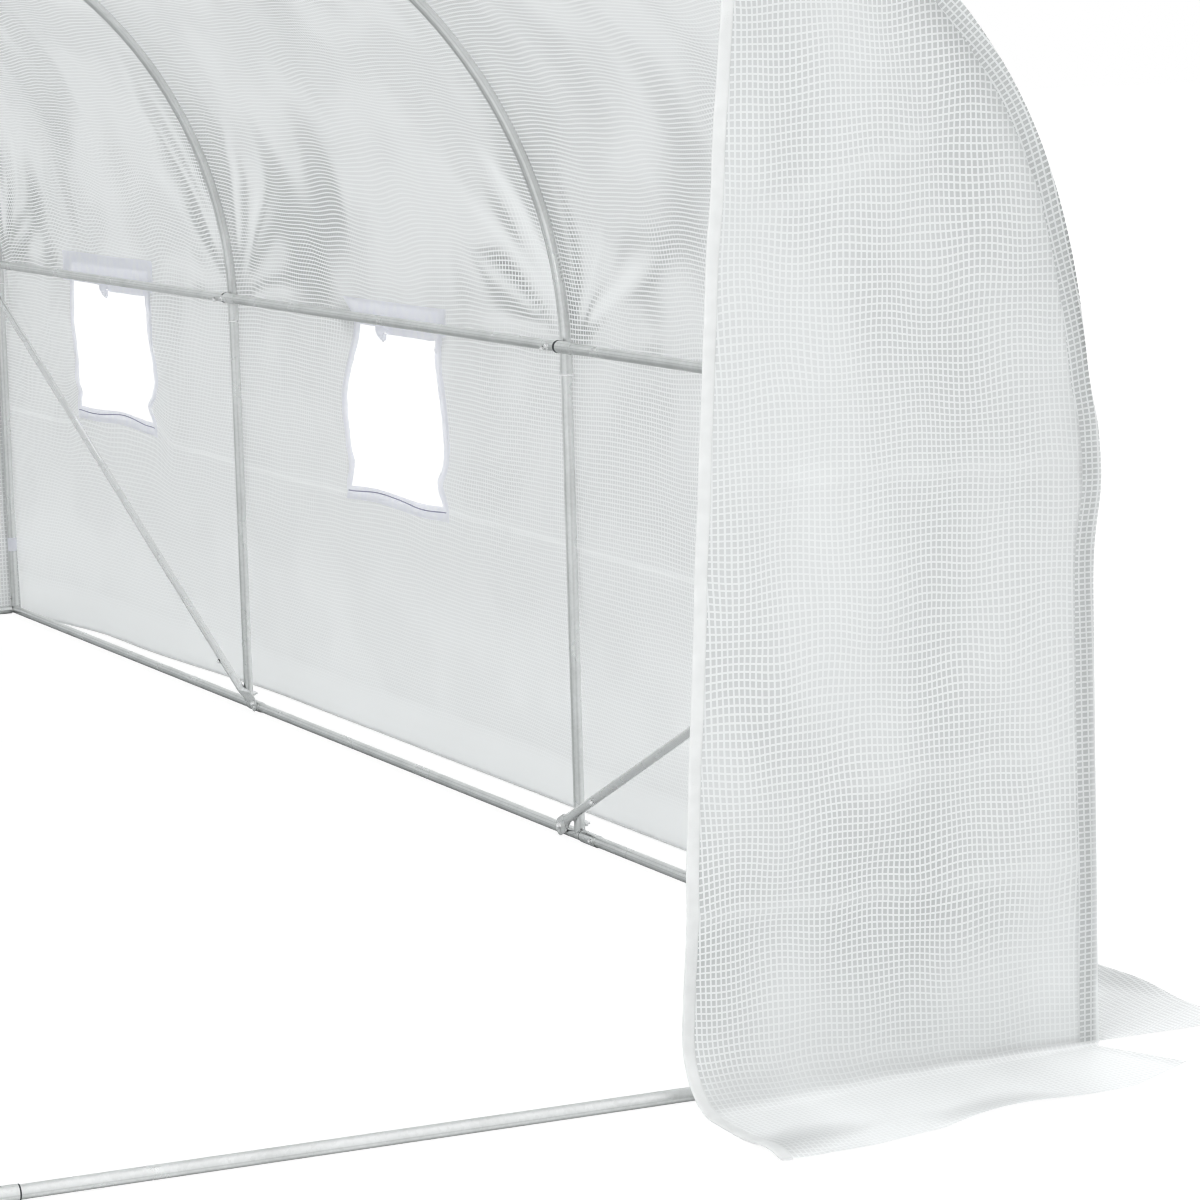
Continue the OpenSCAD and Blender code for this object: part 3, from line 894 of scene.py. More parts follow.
def droop_part(y, number, cover, seed):
    """The loose end of a flap's tie, which hangs over the top of a window in a small curl."""
    width = np.linspace(-0.045, 0.045, 15)[None, :]
    drop = np.linspace(0, 1, 12)[:, None]
    s = HOLE_TOP_S - 0.010 + drop * (0.034 - 0.55 * np.abs(width) + 0.004 * np.sin(90 * width + number))
    points = film_at(s, y + width * (1 - 0.3 * drop), seed, cover, -0.008)
    points[..., 0] -= 0.010 * np.sin(np.pi * drop) + 0.003 * np.sin(120 * width)
    uv = np.stack(np.broadcast_arrays(width, 0.04 * drop), axis=-1)
    return sheet(points, uv)


def zip_part(cover, seed):
    """Zip lines along the window sills of the right wall: thin wavering cords on the tape."""
    parts = []
    for number, place in enumerate(BAY_Y):
        y = np.linspace(place - WINDOW_W / 2 - 0.02, place + WINDOW_W / 2 + 0.02, 48)
        t = np.linspace(0, 1, 48)
        s = SILL_S + 0.011 + 0.004 * np.sin(2 * np.pi * (0.9 * t + 0.2 * number)) * np.sin(np.pi * t)
        parts.append(tube(film_at(s, y, seed, cover, -0.0050), 0.0013, 8))
    return joined(parts)


def rolled_part(start, end, inner, outer, length, sag, pinch, seed):
    """A sheet wound on itself between two points: a spiral carried along a sagging line, drawn in where
    ties hold it. Returns the sheet and the wound length."""
    start, end = np.asarray(start, float), np.asarray(end, float)
    turns = length / (np.pi * (inner + outer))
    angle = np.linspace(0, 2 * np.pi * turns, int(26 * turns))
    radius = inner + (outer - inner) * angle / angle[-1]
    t = np.linspace(0, 1, 60)
    line = start + (end - start) * t[:, None]
    line = line - np.array([0, 0, 1.0]) * (sag * np.sin(np.pi * t))[:, None]
    draw = 1 - sum(0.16 * bell(t - place, 0.018) for place in pinch)
    wobble = 1 + 0.035 * waves(t[:, None] * 1.3, angle[None, :] * 0.03, seed, 7, 0.6, 0.1)
    size = radius[None, :] * draw[:, None] * wobble
    span = np.linalg.norm(end - start)
    axis = (end - start) / span
    up = np.array([0.0, 0.0, 1.0])
    out = np.cross(up, axis)
    points = (
        line[:, None]
        + size[..., None] * np.cos(angle)[None, :, None] * out
        + size[..., None] * np.sin(angle)[None, :, None] * up
    )
    wound = np.concatenate([[0], np.cumsum(np.hypot(np.diff(radius), radius[1:] * np.diff(angle)))])
    uv = np.stack(np.broadcast_arrays((t * span)[:, None], wound[None, :]), axis=-1)
    rim = 0.965 * (outer - (outer - inner) / turns)
    inset = ROLL_END_DEPTH * axis
    ends = [roll_end(start + inset, -axis, rim), roll_end(end - inset, axis, rim)]
    return joined([sheet(points, uv), *ends]), wound[-1]


def roll_end(place, axis, rim):
    """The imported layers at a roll's end: a disc of fine rings, just inside the sheet's edge."""
    rings = np.linspace(0, rim, 9)
    return lathe(np.stack([rings, 0.0011 * (np.arange(9) % 2)], axis=-1), place, axis, 24)


def strap_ring(place, axis, radius, width, thickness=0.0016):
    """A webbing tie round a tube: a band with a rounded cross-section, closed on itself."""
    half = width / 2
    loop = np.array([
        (radius, -half), (radius + thickness, -half * 0.96), (radius + thickness * 1.25, 0.0),
        (radius + thickness, half * 0.96), (radius, half), (radius, -half),
    ])
    return lathe(loop, place, axis, 24)


# The end sheets' form
def outline_x(z, cover):
    """Half width of an end sheet at a height: the wall line with its lean, then the shoulder's arc."""
    lean = cover.corner_reach * wall_lean(z)
    radius = SHOULDER_R + SWAGE_R
    high_up = np.maximum(z - BEND_Z, 0)
    turn = np.arcsin(np.clip(high_up / radius, 0, 1))
    s = BEND_S - turn * radius + np.maximum(BEND_Z - z, 0)
    loose = end_loose(s) * np.cos(turn)
    return SHOULDER_X + np.sqrt(np.maximum(radius**2 - high_up**2, 0)) + lean + loose


def outline_z(x):
    """Height of an end sheet's top edge at a place across the tunnel."""
    x = np.abs(x)
    on_crown = x < (CROWN_R + SWAGE_R) * np.sin(CROWN_A)
    crown = CROWN_Z + np.sqrt(np.maximum((CROWN_R + SWAGE_R) ** 2 - x**2, 0))
    shoulder = BEND_Z + np.sqrt(np.maximum((SHOULDER_R + SWAGE_R) ** 2 - (x - SHOULDER_X) ** 2, 0))
    return np.where(on_crown, crown, shoulder)


def door_edge(z):
    """Place of the doorway's right edge at a height: it leans out to its top."""
    foot, top = DOOR_HALF - EDGE_PAST[0], DOOR_TOP_HALF - EDGE_PAST[1]
    return foot + (top - foot) * np.clip(z / DOOR_H, 0, 1)


def end_skirt_reach(u):
    """Length of the front skirt on the ground across the panel, from the doorway (0) to the corner (1)."""
    places, reach = np.transpose(FRONT_SKIRT)
    return np.interp(u, places, reach)


def panel_top():
    """Height of a front panel's top, a little under the arch beside the doorway."""
    return outline_z(np.array(DOOR_TOP_HALF)) - PANEL_TOP_DROP


def packing_creases(x, z):
    """Height of the creases left in a front panel by its packing: three level ones and a slanting one."""
    total = np.zeros(np.broadcast(x, z).shape)
    for height, slope, place, start, end in PANEL_CREASES:
        across = z - place - slope * (x - DOOR_HALF)
        fade = smooth_step(x, start, start + 0.12) * (1 - smooth_step(x, end - 0.12, end))
        total += height * bell(across, 0.012) * fade
    return total


def front_panel_points(u, w, cover, seed, draw=0.0):
    """Points of the right front panel. u runs from the doorway to the arch and w down the sheet: 0 at the
    top, 1 at the ground and 2 at the skirt's outer hem. At the foot the sheet bends out onto the ground on a
    round bend, wide at the doorway and tight at the corner. A draw takes the doorway edge to the side."""
    top = panel_top()
    bend = 0.105 * (1 - u) ** 1.4 + 0.012
    z_line = top * (1 - np.clip(w, 0, 1))
    down = np.where(w < 1, np.maximum(bend - z_line, 0), bend + (w - 1) * end_skirt_reach(u))
    arc = np.clip(down / bend, 0, np.pi / 2)
    past = np.maximum(down - bend * np.pi / 2, 0)
    z = np.where(z_line > bend, z_line, bend * (1 - np.sin(arc)))
    out = bend * (1 - np.cos(arc)) + past
    edge, rim = door_edge(z), outline_x(z, cover) - RIM_INSET
    x = edge + u * (rim - edge) + draw * (1 - u) ** 2
    on_ground = np.clip(past / 0.25, 0, 1)
    x = x + 0.105 * on_ground * u**3 - 0.012 * on_ground * (1 - u) ** 3
    hang = smooth_step(z, 0.02, 0.35)
    tied = 1 - np.clip(u, 0, 1) ** 5
    soft = 0.010 * waves(x * 1.6, z * 0.55, seed, 8, 0.8, 0.14) * hang * tied
    fine = 0.0022 * waves(x, z, seed + 1, 12, 0.25, 0.05) * (0.3 + 0.7 * hang) * tied
    billow = 0.014 * np.sin(np.pi * u) * np.sin(np.pi * np.clip(z / 1.7, 0, 1)) * hang
    edge_in = 0.010 * (1 - u) ** 2 * np.sin(np.pi * np.clip(z / 1.75, 0, 1))
    swell = np.maximum(billow + soft, 0.0) * 0.9
    y = -(END_Y + END_GAP) - out - swell - fine + edge_in - packing_creases(x, z)
    curl = 0.010 * np.maximum(waves(x * 1.2, out * 1.2, seed + 2, 6, 0.5, 0.2), 0) * on_ground**2
    z = np.maximum(z, 0.0) + GROUND_GAP + curl
    return np.stack([x, y, z], axis=-1)


def panel_clear(u, points, seed):
    """How clear a front panel is: soft patches, clearer over its foot by the doorway and along the corner
    fold, and white on the ground and on the creases. A white patch by the corner's foot is painted light that
    lifts the shade where the wall meets the skirt."""
    x, z = points[..., 0], points[..., 2]
    soft = 0.10 + 0.20 * waves(x * 1.3, z * 0.6, seed + 4, 8, 0.8, 0.15)
    # Painted light: a white patch by the corner's foot that lifts the shade there
    painted_light_patch = 0.40 * smooth_step(u, 0.4, 0.75) * bell(z - 0.10, 0.11)
    bend = 0.40 * bell(z - 0.26, 0.16) * (1 - u) - painted_light_patch
    fold = 0.38 * smooth_step(u, 0.955, 0.985) * (z < BEND_Z - 0.1)
    ground = 0.32 * (1 - smooth_step(z, 0.006, 0.06))
    crest = 75 * packing_creases(x, z)
    return np.clip(soft + bend + fold - ground - crest, -0.7, 1)


def front_panel_part(cover, seed, draw):
    """The right front panel with its skirt as one sheet. Its thread grid is level and upright."""
    u = stations(0.0, (0.08, 0.016), (0.92, 0.02), (1.0, 0.016))
    top = panel_top()
    fold = 1 - 0.16 / top
    w = stations(0.0, (fold, 0.0085), (1.0, 0.005), (2.0, 0.035))
    grid_u, grid_w = np.meshgrid(u, w, indexing="ij")
    points = front_panel_points(grid_u, grid_w, cover, seed, draw)
    sheet_v = np.where(grid_w < 1, top * grid_w, top + (grid_w - 1) * end_skirt_reach(grid_u))
    x, z = points[..., 0], points[..., 2]
    waver_u = 0.005 * waves(x * 1.2, z * 0.7, seed + 5, 7, 0.7, 0.12)
    waver_v = 0.010 * waves(x * 1.1, z * 0.8, seed + 6, 7, 0.8, 0.12)
    uv = np.stack([x + waver_u, sheet_v + waver_v], axis=-1)
    clear = panel_clear(grid_u, points, seed)
    return sheet(points.swapaxes(0, 1), uv.swapaxes(0, 1), None, clear.T)


def edge_binding(cover, seed, draw):
    """White tape folded over the doorway edge of the right front panel, from its top to the skirt's hem."""
    w = stations(0.0, (0.9, 0.008), (1.0, 0.004), (2.0, 0.03))
    edge = front_panel_points(np.zeros_like(w), w, cover, seed, draw)
    inner = front_panel_points(np.full_like(w, 0.05), w, cover, seed, draw)
    along = np.gradient(edge, axis=0)
    along /= np.linalg.norm(along, axis=1, keepdims=True)
    across = inner - edge
    across -= along * (across * along).sum(1, keepdims=True)
    across /= np.linalg.norm(across, axis=1, keepdims=True)
    centre = edge + across * (EDGE_TAPE_W / 2 - 0.003)
    face = np.cross(along, across)
    sides = 20
    turn = np.linspace(0, 2 * np.pi, sides, endpoint=False)
    wide = np.sign(np.cos(turn)) * np.abs(np.cos(turn)) ** 0.55
    thick = np.sign(np.sin(turn)) * np.abs(np.sin(turn)) ** 0.9
    puff = 1 + 0.16 * np.sin(w * 97) * np.sin(w * 41)
    ring = (
        centre[:, None]
        + across[:, None] * (EDGE_TAPE_W / 2 * wide)[None, :, None]
        + face[:, None] * (EDGE_TAPE_R * thick)[None, :, None] * puff[:, None, None]
    )
    ring = capped(ring, centre[0], centre[-1])
    ring[..., 2] = np.maximum(ring[..., 2], 0.0002)
    quads = ring_quads(len(ring), sides)[:, [0, 3, 2, 1]]
    return ring.reshape(-1, 3), quads, np.zeros((len(ring) * sides, 2))


def soft_clear(a, b, seed):
    """Faint clearer patches of a sheet."""
    return np.clip(0.07 + 0.08 * waves(a, b, seed, 8, 0.8, 0.15), 0, 1)


def header_part(seed):
    """The front sheet over the doorway, between the roll and the crown of the arch."""
    x = np.linspace(-DOOR_TOP_HALF, DOOR_TOP_HALF, 61)
    t = np.linspace(0, 1, 13)
    z = DOOR_H + (outline_z(x)[:, None] - RIM_INSET - DOOR_H) * t[None, :]
    grid_x = np.broadcast_to(x[:, None], z.shape)
    y = -(END_Y + END_GAP) - 0.003 * np.maximum(waves(grid_x, z, seed, 8, 0.5, 0.1), 0)
    points = np.stack([grid_x, y, z], axis=-1)
    uv = np.stack([grid_x, z], axis=-1)
    return sheet(points[::-1], uv[::-1], None, soft_clear(grid_x, z, seed + 4)[::-1])


def back_part(cover, seed):
    """The closed back sheet with its skirt: columns across the tunnel, each from the arch to the ground and
    out onto the ground behind."""
    x_top = HALF_W + SWAGE_R - RIM_INSET
    u = np.sin(np.linspace(-np.pi / 2, np.pi / 2, 121))
    w = stations(0.0, (0.93, 0.014), (1.0, 0.007), (2.0, 0.06))
    grid_u, grid_w = np.meshgrid(u, w, indexing="ij")
    x = grid_u * x_top
    z = (outline_z(x) - RIM_INSET) * (1 - np.clip(grid_w, 0, 1))
    reach = BACK_SKIRT_W - 0.12 * np.abs(grid_u) ** 6
    past = np.clip(grid_w - 1, 0, 1) * reach
    spread = foot_reach(END_Y, cover) * wall_lean(z) + 0.06 * past / BACK_SKIRT_W
    x = x + np.sign(grid_u) * np.abs(grid_u) ** 4 * spread
    hang = smooth_step(z, 0.02, 0.3) * (1 - np.abs(grid_u) ** 6)
    soft = 0.008 * waves(x * 1.4, z * 0.5, seed, 8, 0.9, 0.15)
    fine = 0.002 * waves(x, z, seed + 1, 10, 0.25, 0.06)
    y = END_Y + END_GAP + past + hang * (0.012 + soft + fine)
    curl = 0.010 * np.maximum(waves(x, past, seed + 2, 6, 0.6, 0.2), 0) * (past / BACK_SKIRT_W) ** 2
    points = np.stack([x, y, z + GROUND_GAP + curl], axis=-1)
    uv = np.stack([x, np.where(grid_w < 1, TOP_Z - z, TOP_Z + past)], axis=-1)
    return sheet(points, uv, None, soft_clear(x, z - past, seed + 4))


def side_skirt_part(cover, seed):
    """The right skirt on the ground, from the wall's foot to its outer hem, with a few lifted waves."""
    half = -HOOP_Y[0]
    y = np.linspace(-half + 0.002, half - 0.002, 260)
    t = np.linspace(0, 1, 15)
    grid_t, grid_y = np.meshgrid(t, y, indexing="ij")
    inner = COVER_X + foot_reach(grid_y, cover) - SIDE_SKIRT_LAP
    waver = 0.006 * (1 + waves(grid_y * 0.8, np.zeros_like(grid_t), seed, 5, 2.0, 0.4))
    outer = SKIRT_X - SIDE_SKIRT_INSET - waver
    x = inner + (outer - inner) * grid_t
    lift = 0.014 * np.maximum(waves(x, grid_y * 0.7, seed + 1, 7, 0.9, 0.2), 0) * grid_t**1.5
    points = np.stack([x, grid_y, SIDE_SKIRT_GAP + lift], axis=-1)
    uv = np.stack([grid_y, GROUND_S + x - inner], axis=-1)
    return sheet(points, uv, None, soft_clear(x, grid_y, seed + 4))


# Frame details
def brace_part(right_node):
    """One brace and its bolts: a tube whose ends are pinched flat and rounded. Along its length the section
    goes from a flat oval over the bolt to the round tube, with its outer side flush with the leg."""
    lowest, highest = low(right_node), high(right_node)
    front = lowest[1] + highest[1] < 0
    foot_y, top_y = (highest[1], lowest[1]) if front else (lowest[1], highest[1])
    inward = -1 if front else 1
    foot = np.array([foot_y + inward * BRACE_EYE, lowest[2] + BRACE_END_R])
    top = np.array([top_y - inward * BRACE_EYE, highest[2] - BRACE_EYE])
    span = np.linalg.norm(top - foot)
    d = np.concatenate([
        BRACE_END_R * (1 - np.cos(np.linspace(0.12, np.pi / 2, 8))) - BRACE_END_R,
        np.linspace(0.003, BRACE_END_L * 1.9, 26),
        np.linspace(BRACE_END_L * 2.4, span / 2, 8),
    ])
    d = np.concatenate([d, span - d[-2::-1]])
    from_end = np.minimum(d, span - d)
    round_part = smooth_step(from_end, BRACE_END_L * 0.40, BRACE_END_L * 1.35)
    tip = np.sqrt(np.clip(1 - (np.minimum(from_end, 0) / BRACE_END_R) ** 2, 0, 1))
    across = (BRACE_END_R + (BRACE_R - BRACE_END_R) * round_part) * np.maximum(tip, 0.05)
    deep = BRACE_END_T + (BRACE_R - BRACE_END_T) * round_part
    line = foot + (top - foot) * (d / span)[:, None]
    path = np.column_stack([highest[0] - deep, line])
    way = (top - foot) / span
    side = np.array([-0.82, *(-0.57 * np.array([-way[1], way[0]]) * np.sign(way[0]))])
    mark = np.array([highest[0] - BRACE_R, *(foot + BRACE_BOLT * way)]) + BRACE_R * side
    inner_x = highest[0] - 2 * BRACE_END_T
    heads = [bolt_part((inner_x, *eye), (-1, 0, 0)) for eye in (foot, top)]
    return tube(path, across, 18, deep), joined([*heads, bolt_part(mark, side, 0.75)])


def bolt_part(place, axis, size=1.0):
    """A round-headed bolt on a washer, seated at a place with its head along the axis."""
    base = np.asarray(place, float)
    up = base + np.asarray(axis, float) * 0.0011
    washer, head = np.array(WASHER) * size, np.array(BOLT_HEAD) * size
    return joined([lathe(washer, base, axis, 18), lathe(head, up, axis, 16)])


def collar(place, axis, radius, width, thickness=0.0012):
    """A rolled lip round a tube."""
    inner, outer, half = radius - 0.0005, radius + thickness, width / 2
    loop = np.array([
        (inner, -half), (outer, -half * 0.7), (outer, half * 0.7), (inner, half), (inner, -half),
    ])
    return lathe(loop, place, axis, 32)


def joint_parts():
    """Bolts and steel collars of the frame, and dark rings of painted shade in the joints' gaps: at the
    purlins' crossings, the legs' feet and the sockets.
    """
    steel, dark = [], []
    seat = 0.0004
    for side in (-1, 1):
        inward, purlin_x, leg_x = (-side, 0, 0), side * PURLIN_X, side * HALF_W
        for hoop in HOOP_Y:
            bolt_y = hoop + (CROSSING_BOLT if hoop < 0 else -CROSSING_BOLT)
            steel.append(bolt_part((side * (PURLIN_X - TUBE_R), bolt_y, PURLIN_Z), inward, 0.8))
            steel.append(collar((leg_x, hoop, LEG_TOP_Z + 0.002), (0, 0, 1), SWAGE_R, 0.005))
            steel.append(bolt_part((side * (HALF_W - TUBE_R - seat), hoop, RAIL_Z + FOOT_BOLT), inward, 0.7))
        for hoop in HOOP_Y[1:3]:
            # Dark rings of painted shade where the joint gaps of the purlin and the rail are in shade
            dark.append(collar((purlin_x, hoop - PURLIN_SHADE_RING, PURLIN_Z), (0, 1, 0), TUBE_R, 0.009, 0.0019))
            sleeve = (side * (PURLIN_X - TUBE_R * 0.8), hoop + SLEEVE_BOLT, PURLIN_Z - TUBE_R * 0.6)
            steel.append(bolt_part(sleeve, (-side * 0.8, 0, -0.6), 0.8))
            dark.append(collar((leg_x, hoop - RAIL_SHADE_RING, RAIL_Z), (0, 1, 0), TUBE_R, 0.003))
            steel.append(bolt_part((side * (HALF_W - SWAGE_R), hoop - RAIL_BOLT, RAIL_Z), inward, 0.6))
            steel.append(lathe(NUT, (side * (HALF_W + TUBE_R), hoop, RAIL_Z + FOOT_NUT), (side, 0, 0), 6))
    for hoop in HOOP_Y:
        bolt_y = hoop + (CROSSING_BOLT if hoop < 0 else -CROSSING_BOLT)
        steel.append(bolt_part((0, bolt_y, RIDGE_Z - TUBE_R), (0, 0, -1), 0.8))
    rail_y = middle("front_ground_rail")[1]
    for end in (rail_y, -rail_y):
        steel.append(bolt_part((END_RAIL_BOLT_X, end, RAIL_Z + SWAGE_R), (0, 0, 1), 0.6))
        dark.append(collar((END_RAIL_SHADE_RING_X, end, RAIL_Z), (1, 0, 0), TUBE_R, 0.003))
    return joined(steel), joined(dark)


# Operators
class POLYTUNNEL_OT_finishes(Operator):
    """Make the materials and put them on the frame's tubes"""

    bl_idname = "polytunnel.finishes"
    bl_label = "Finishes"

    def execute(self, context):
        film_material(context.scene.polytunnel_film)
        film_material(context.scene.polytunnel_film, "rolled_film", 0.12)
        # The binding tape glows faintly: painted light that lifts it where the rolled flaps shade it
        webbing_material("binding_tape", (0.885, 0.893, 0.94), 0.35, 0.17)
        webbing_material("edge_tape", (0.92, 0.93, 0.925), 0.25, 0.0)
        plain_material("seam_line", (0.42, 0.42, 0.56), 0.6)
        # Near-black painted shade for the rings in the joints' gaps
        plain_material("joint_gap_shade", (0.035, 0.04, 0.045), 0.55)
        tube_steel = steel_material(context.scene.polytunnel_steel)
        steel_material(context.scene.polytunnel_steel, "bolt_zinc", 1.0)
        steel_material(context.scene.polytunnel_steel, "brace_zinc", 0.5)
        for name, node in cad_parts.items():
            if name.endswith(("_arch", "_leg", "_purlin", "_rail")):
                node.data.materials.clear()
                node.data.materials.append(tube_steel)
        return {"FINISHED"}


class POLYTUNNEL_OT_cover(Operator):
    """Hang the film cover over the hoops and sew the tape round its windows"""

    bl_idname = "polytunnel.cover"
    bl_label = "Cover"

    def execute(self, context):
        cover = context.scene.polytunnel_cover
        for (side, place), seed, step in zip(SIDES, COVER_SEEDS, COVER_STEPS):
            part = place(cover_part(cover, seed, step))
            piece = make_object(f"{side}_cover", part, material_of("reinforced_film"))
            extra = ("crown_cover",) if side == "right" else ()
            nodes = [f"{side}_{name}" for name in ("roof_cover", "wall_strip", "window_wall", "lower_wall")]
            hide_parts(*nodes, *extra)
            part = place(tape_part(cover, seed))
            tape = make_object(f"{side}_window_tape", part, material_of("binding_tape"))
            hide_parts(f"{side}_window_bindings")
            part = place(zip_part(cover, seed))
            zips = clean_ends(make_object(f"{side}_sill_zips", part, material_of("seam_line")))
        return {"FINISHED"}


class POLYTUNNEL_OT_flaps(Operator):
    """Roll up the window flaps on the outside and tie them"""

    bl_idname = "polytunnel.flaps"
    bl_label = "Window flaps"

    def execute(self, context):
        place_x = middle("right_window_flaps")[0] + FLAP_OUT
        place_z = middle("right_window_flaps")[2] + FLAP_RISE
        reach = WINDOW_W / 2 + BINDING_W - FLAP_SHORT
        outer = FLAP_R - 0.003
        for (side, place), seed in zip(SIDES, COVER_SEEDS):
            rolls, ties = [], []
            for number, bay in enumerate(BAY_Y):
                ends = (place_x, bay - reach, place_z), (place_x, bay + reach, place_z)
                roll, wound = rolled_part(
                    *ends, FLAP_CORE_R, outer, FLAP_L, FLAP_SAG, FLAP_TIES, seed + 5 + number
                )
                rolls.append(roll)
                for t in FLAP_TIES:
                    hold = (place_x, bay - reach + 2 * reach * t, place_z - FLAP_SAG)
                    ties.append(strap_ring(hold, (0, 1, 0), FLAP_R * TIE_SHARE, FLAP_TIE_W))
            part = place(joined(rolls))
            flaps = clean_ends(make_object(f"{side}_rolled_flaps", part, material_of("rolled_film")))
            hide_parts(f"{side}_window_flaps")
            straps = make_object(f"{side}_flap_ties", place(joined(ties)), material_of("binding_tape"))
        return {"FINISHED"}


class POLYTUNNEL_OT_front(Operator):
    """Hang the front panels with their skirts and tape, the header and the rolled-up door"""

    bl_idname = "polytunnel.front"
    bl_label = "Front end"

    def execute(self, context):
        cover = context.scene.polytunnel_cover
        for (side, place), seed, draw in zip(SIDES, FRONT_SEEDS, FRONT_DRAW):
            part = place(front_panel_part(cover, seed, draw))
            piece = make_object(f"front_{side}_sheet", part, material_of("reinforced_film"))
            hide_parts(f"front_{side}_panel", f"front_{side}_skirt")
            part = place(edge_binding(cover, seed, draw))
            tape = clean_ends(make_object(f"front_{side}_edge_tape", part, material_of("edge_tape")))
        header = make_object("front_header_sheet", header_part(HEADER_SEED), material_of("reinforced_film"))
        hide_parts("front_header")
        y, z = middle("rolled_door")[1:]
        reach = high("rolled_door")[0] - DOOR_SHORT
        outer = ROLL_R - 0.004
        ends = (-reach, y, z), (reach, y, z)
        roll, wound = rolled_part(*ends, DOOR_CORE_R, outer, DOOR_L, DOOR_SAG, DOOR_TIES, DOOR_SEED)
        door = clean_ends(make_object("rolled_door_sheet", roll, material_of("rolled_film")))
        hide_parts("rolled_door")
        straps = []
        for t in DOOR_TIES:
            hold = (-reach + 2 * reach * t, y, z - DOOR_SAG * np.sin(np.pi * t))
            straps.append(strap_ring(hold, (1, 0, 0), ROLL_R * TIE_SHARE, DOOR_TIE_W))
        bands = make_object("door_ties", joined(straps), material_of("binding_tape"))
        return {"FINISHED"}


class POLYTUNNEL_OT_back(Operator):
    """Hang the closed back sheet with its skirt"""

    bl_idname = "polytunnel.back"
    bl_label = "Back end"

    def execute(self, context):
        cover = context.scene.polytunnel_cover
        piece = make_object("back_sheet", back_part(cover, BACK_SEED), material_of("reinforced_film"))
        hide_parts("back_panel", "back_skirt")
        return {"FINISHED"}


class POLYTUNNEL_OT_skirts(Operator):
    """Lay the side skirts on the ground"""

    bl_idname = "polytunnel.skirts"
    bl_label = "Side skirts"

    def execute(self, context):
        cover = context.scene.polytunnel_cover
        for (side, place), seed in zip(SIDES, SKIRT_SEEDS):
            part = place(side_skirt_part(cover, seed))
            piece = make_object(f"{side}_ground_skirt", part, material_of("reinforced_film"))
            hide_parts(f"{side}_skirt")
        return {"FINISHED"}


class POLYTUNNEL_OT_braces(Operator):
    """Make the braces with their pinched ends and bolts"""

    bl_idname = "polytunnel.braces"
    bl_label = "Braces"

    def execute(self, context):
        bolts = []
        for end in ("front", "back"):
            part, heads = brace_part(f"right_{end}_brace")
            for side, place in SIDES:
                name = f"{side}_{end}_brace_tube"
                piece = clean_ends(make_object(name, place(part), material_of("brace_zinc")))
                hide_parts(f"{side}_{end}_brace")
                bolts.append(place(heads))
        heads = clean_ends(make_object("brace_bolts", joined(bolts), material_of("bolt_zinc")))
        return {"FINISHED"}


class POLYTUNNEL_OT_joints(Operator):
    """Add the bolts, steel collars, dark rings of painted shade and webbing ties of the frame"""

    bl_idname = "polytunnel.joints"
    bl_label = "Joints and ties"

    def execute(self, context):
        steel, dark = joint_parts()
        bolts = clean_ends(make_object("frame_bolts", steel, material_of("bolt_zinc")))
        # The rings of painted shade in the joints' gaps
        gap_shade_rings = clean_ends(make_object("tube_joint_gap_shade", dark, material_of("joint_gap_shade")))
        ties = [
            strap_ring((side * HALF_W, hoop, LEG_TIE_Z), (0, 0, 1), TUBE_R + 0.0003, LEG_TIE_W, 0.0014)
            for side in (-1, 1)
            for hoop in (HOOP_Y[0], HOOP_Y[-1])
        ]
        straps = clean_ends(make_object("leg_ties", joined(ties), material_of("binding_tape")))
        return {"FINISHED"}


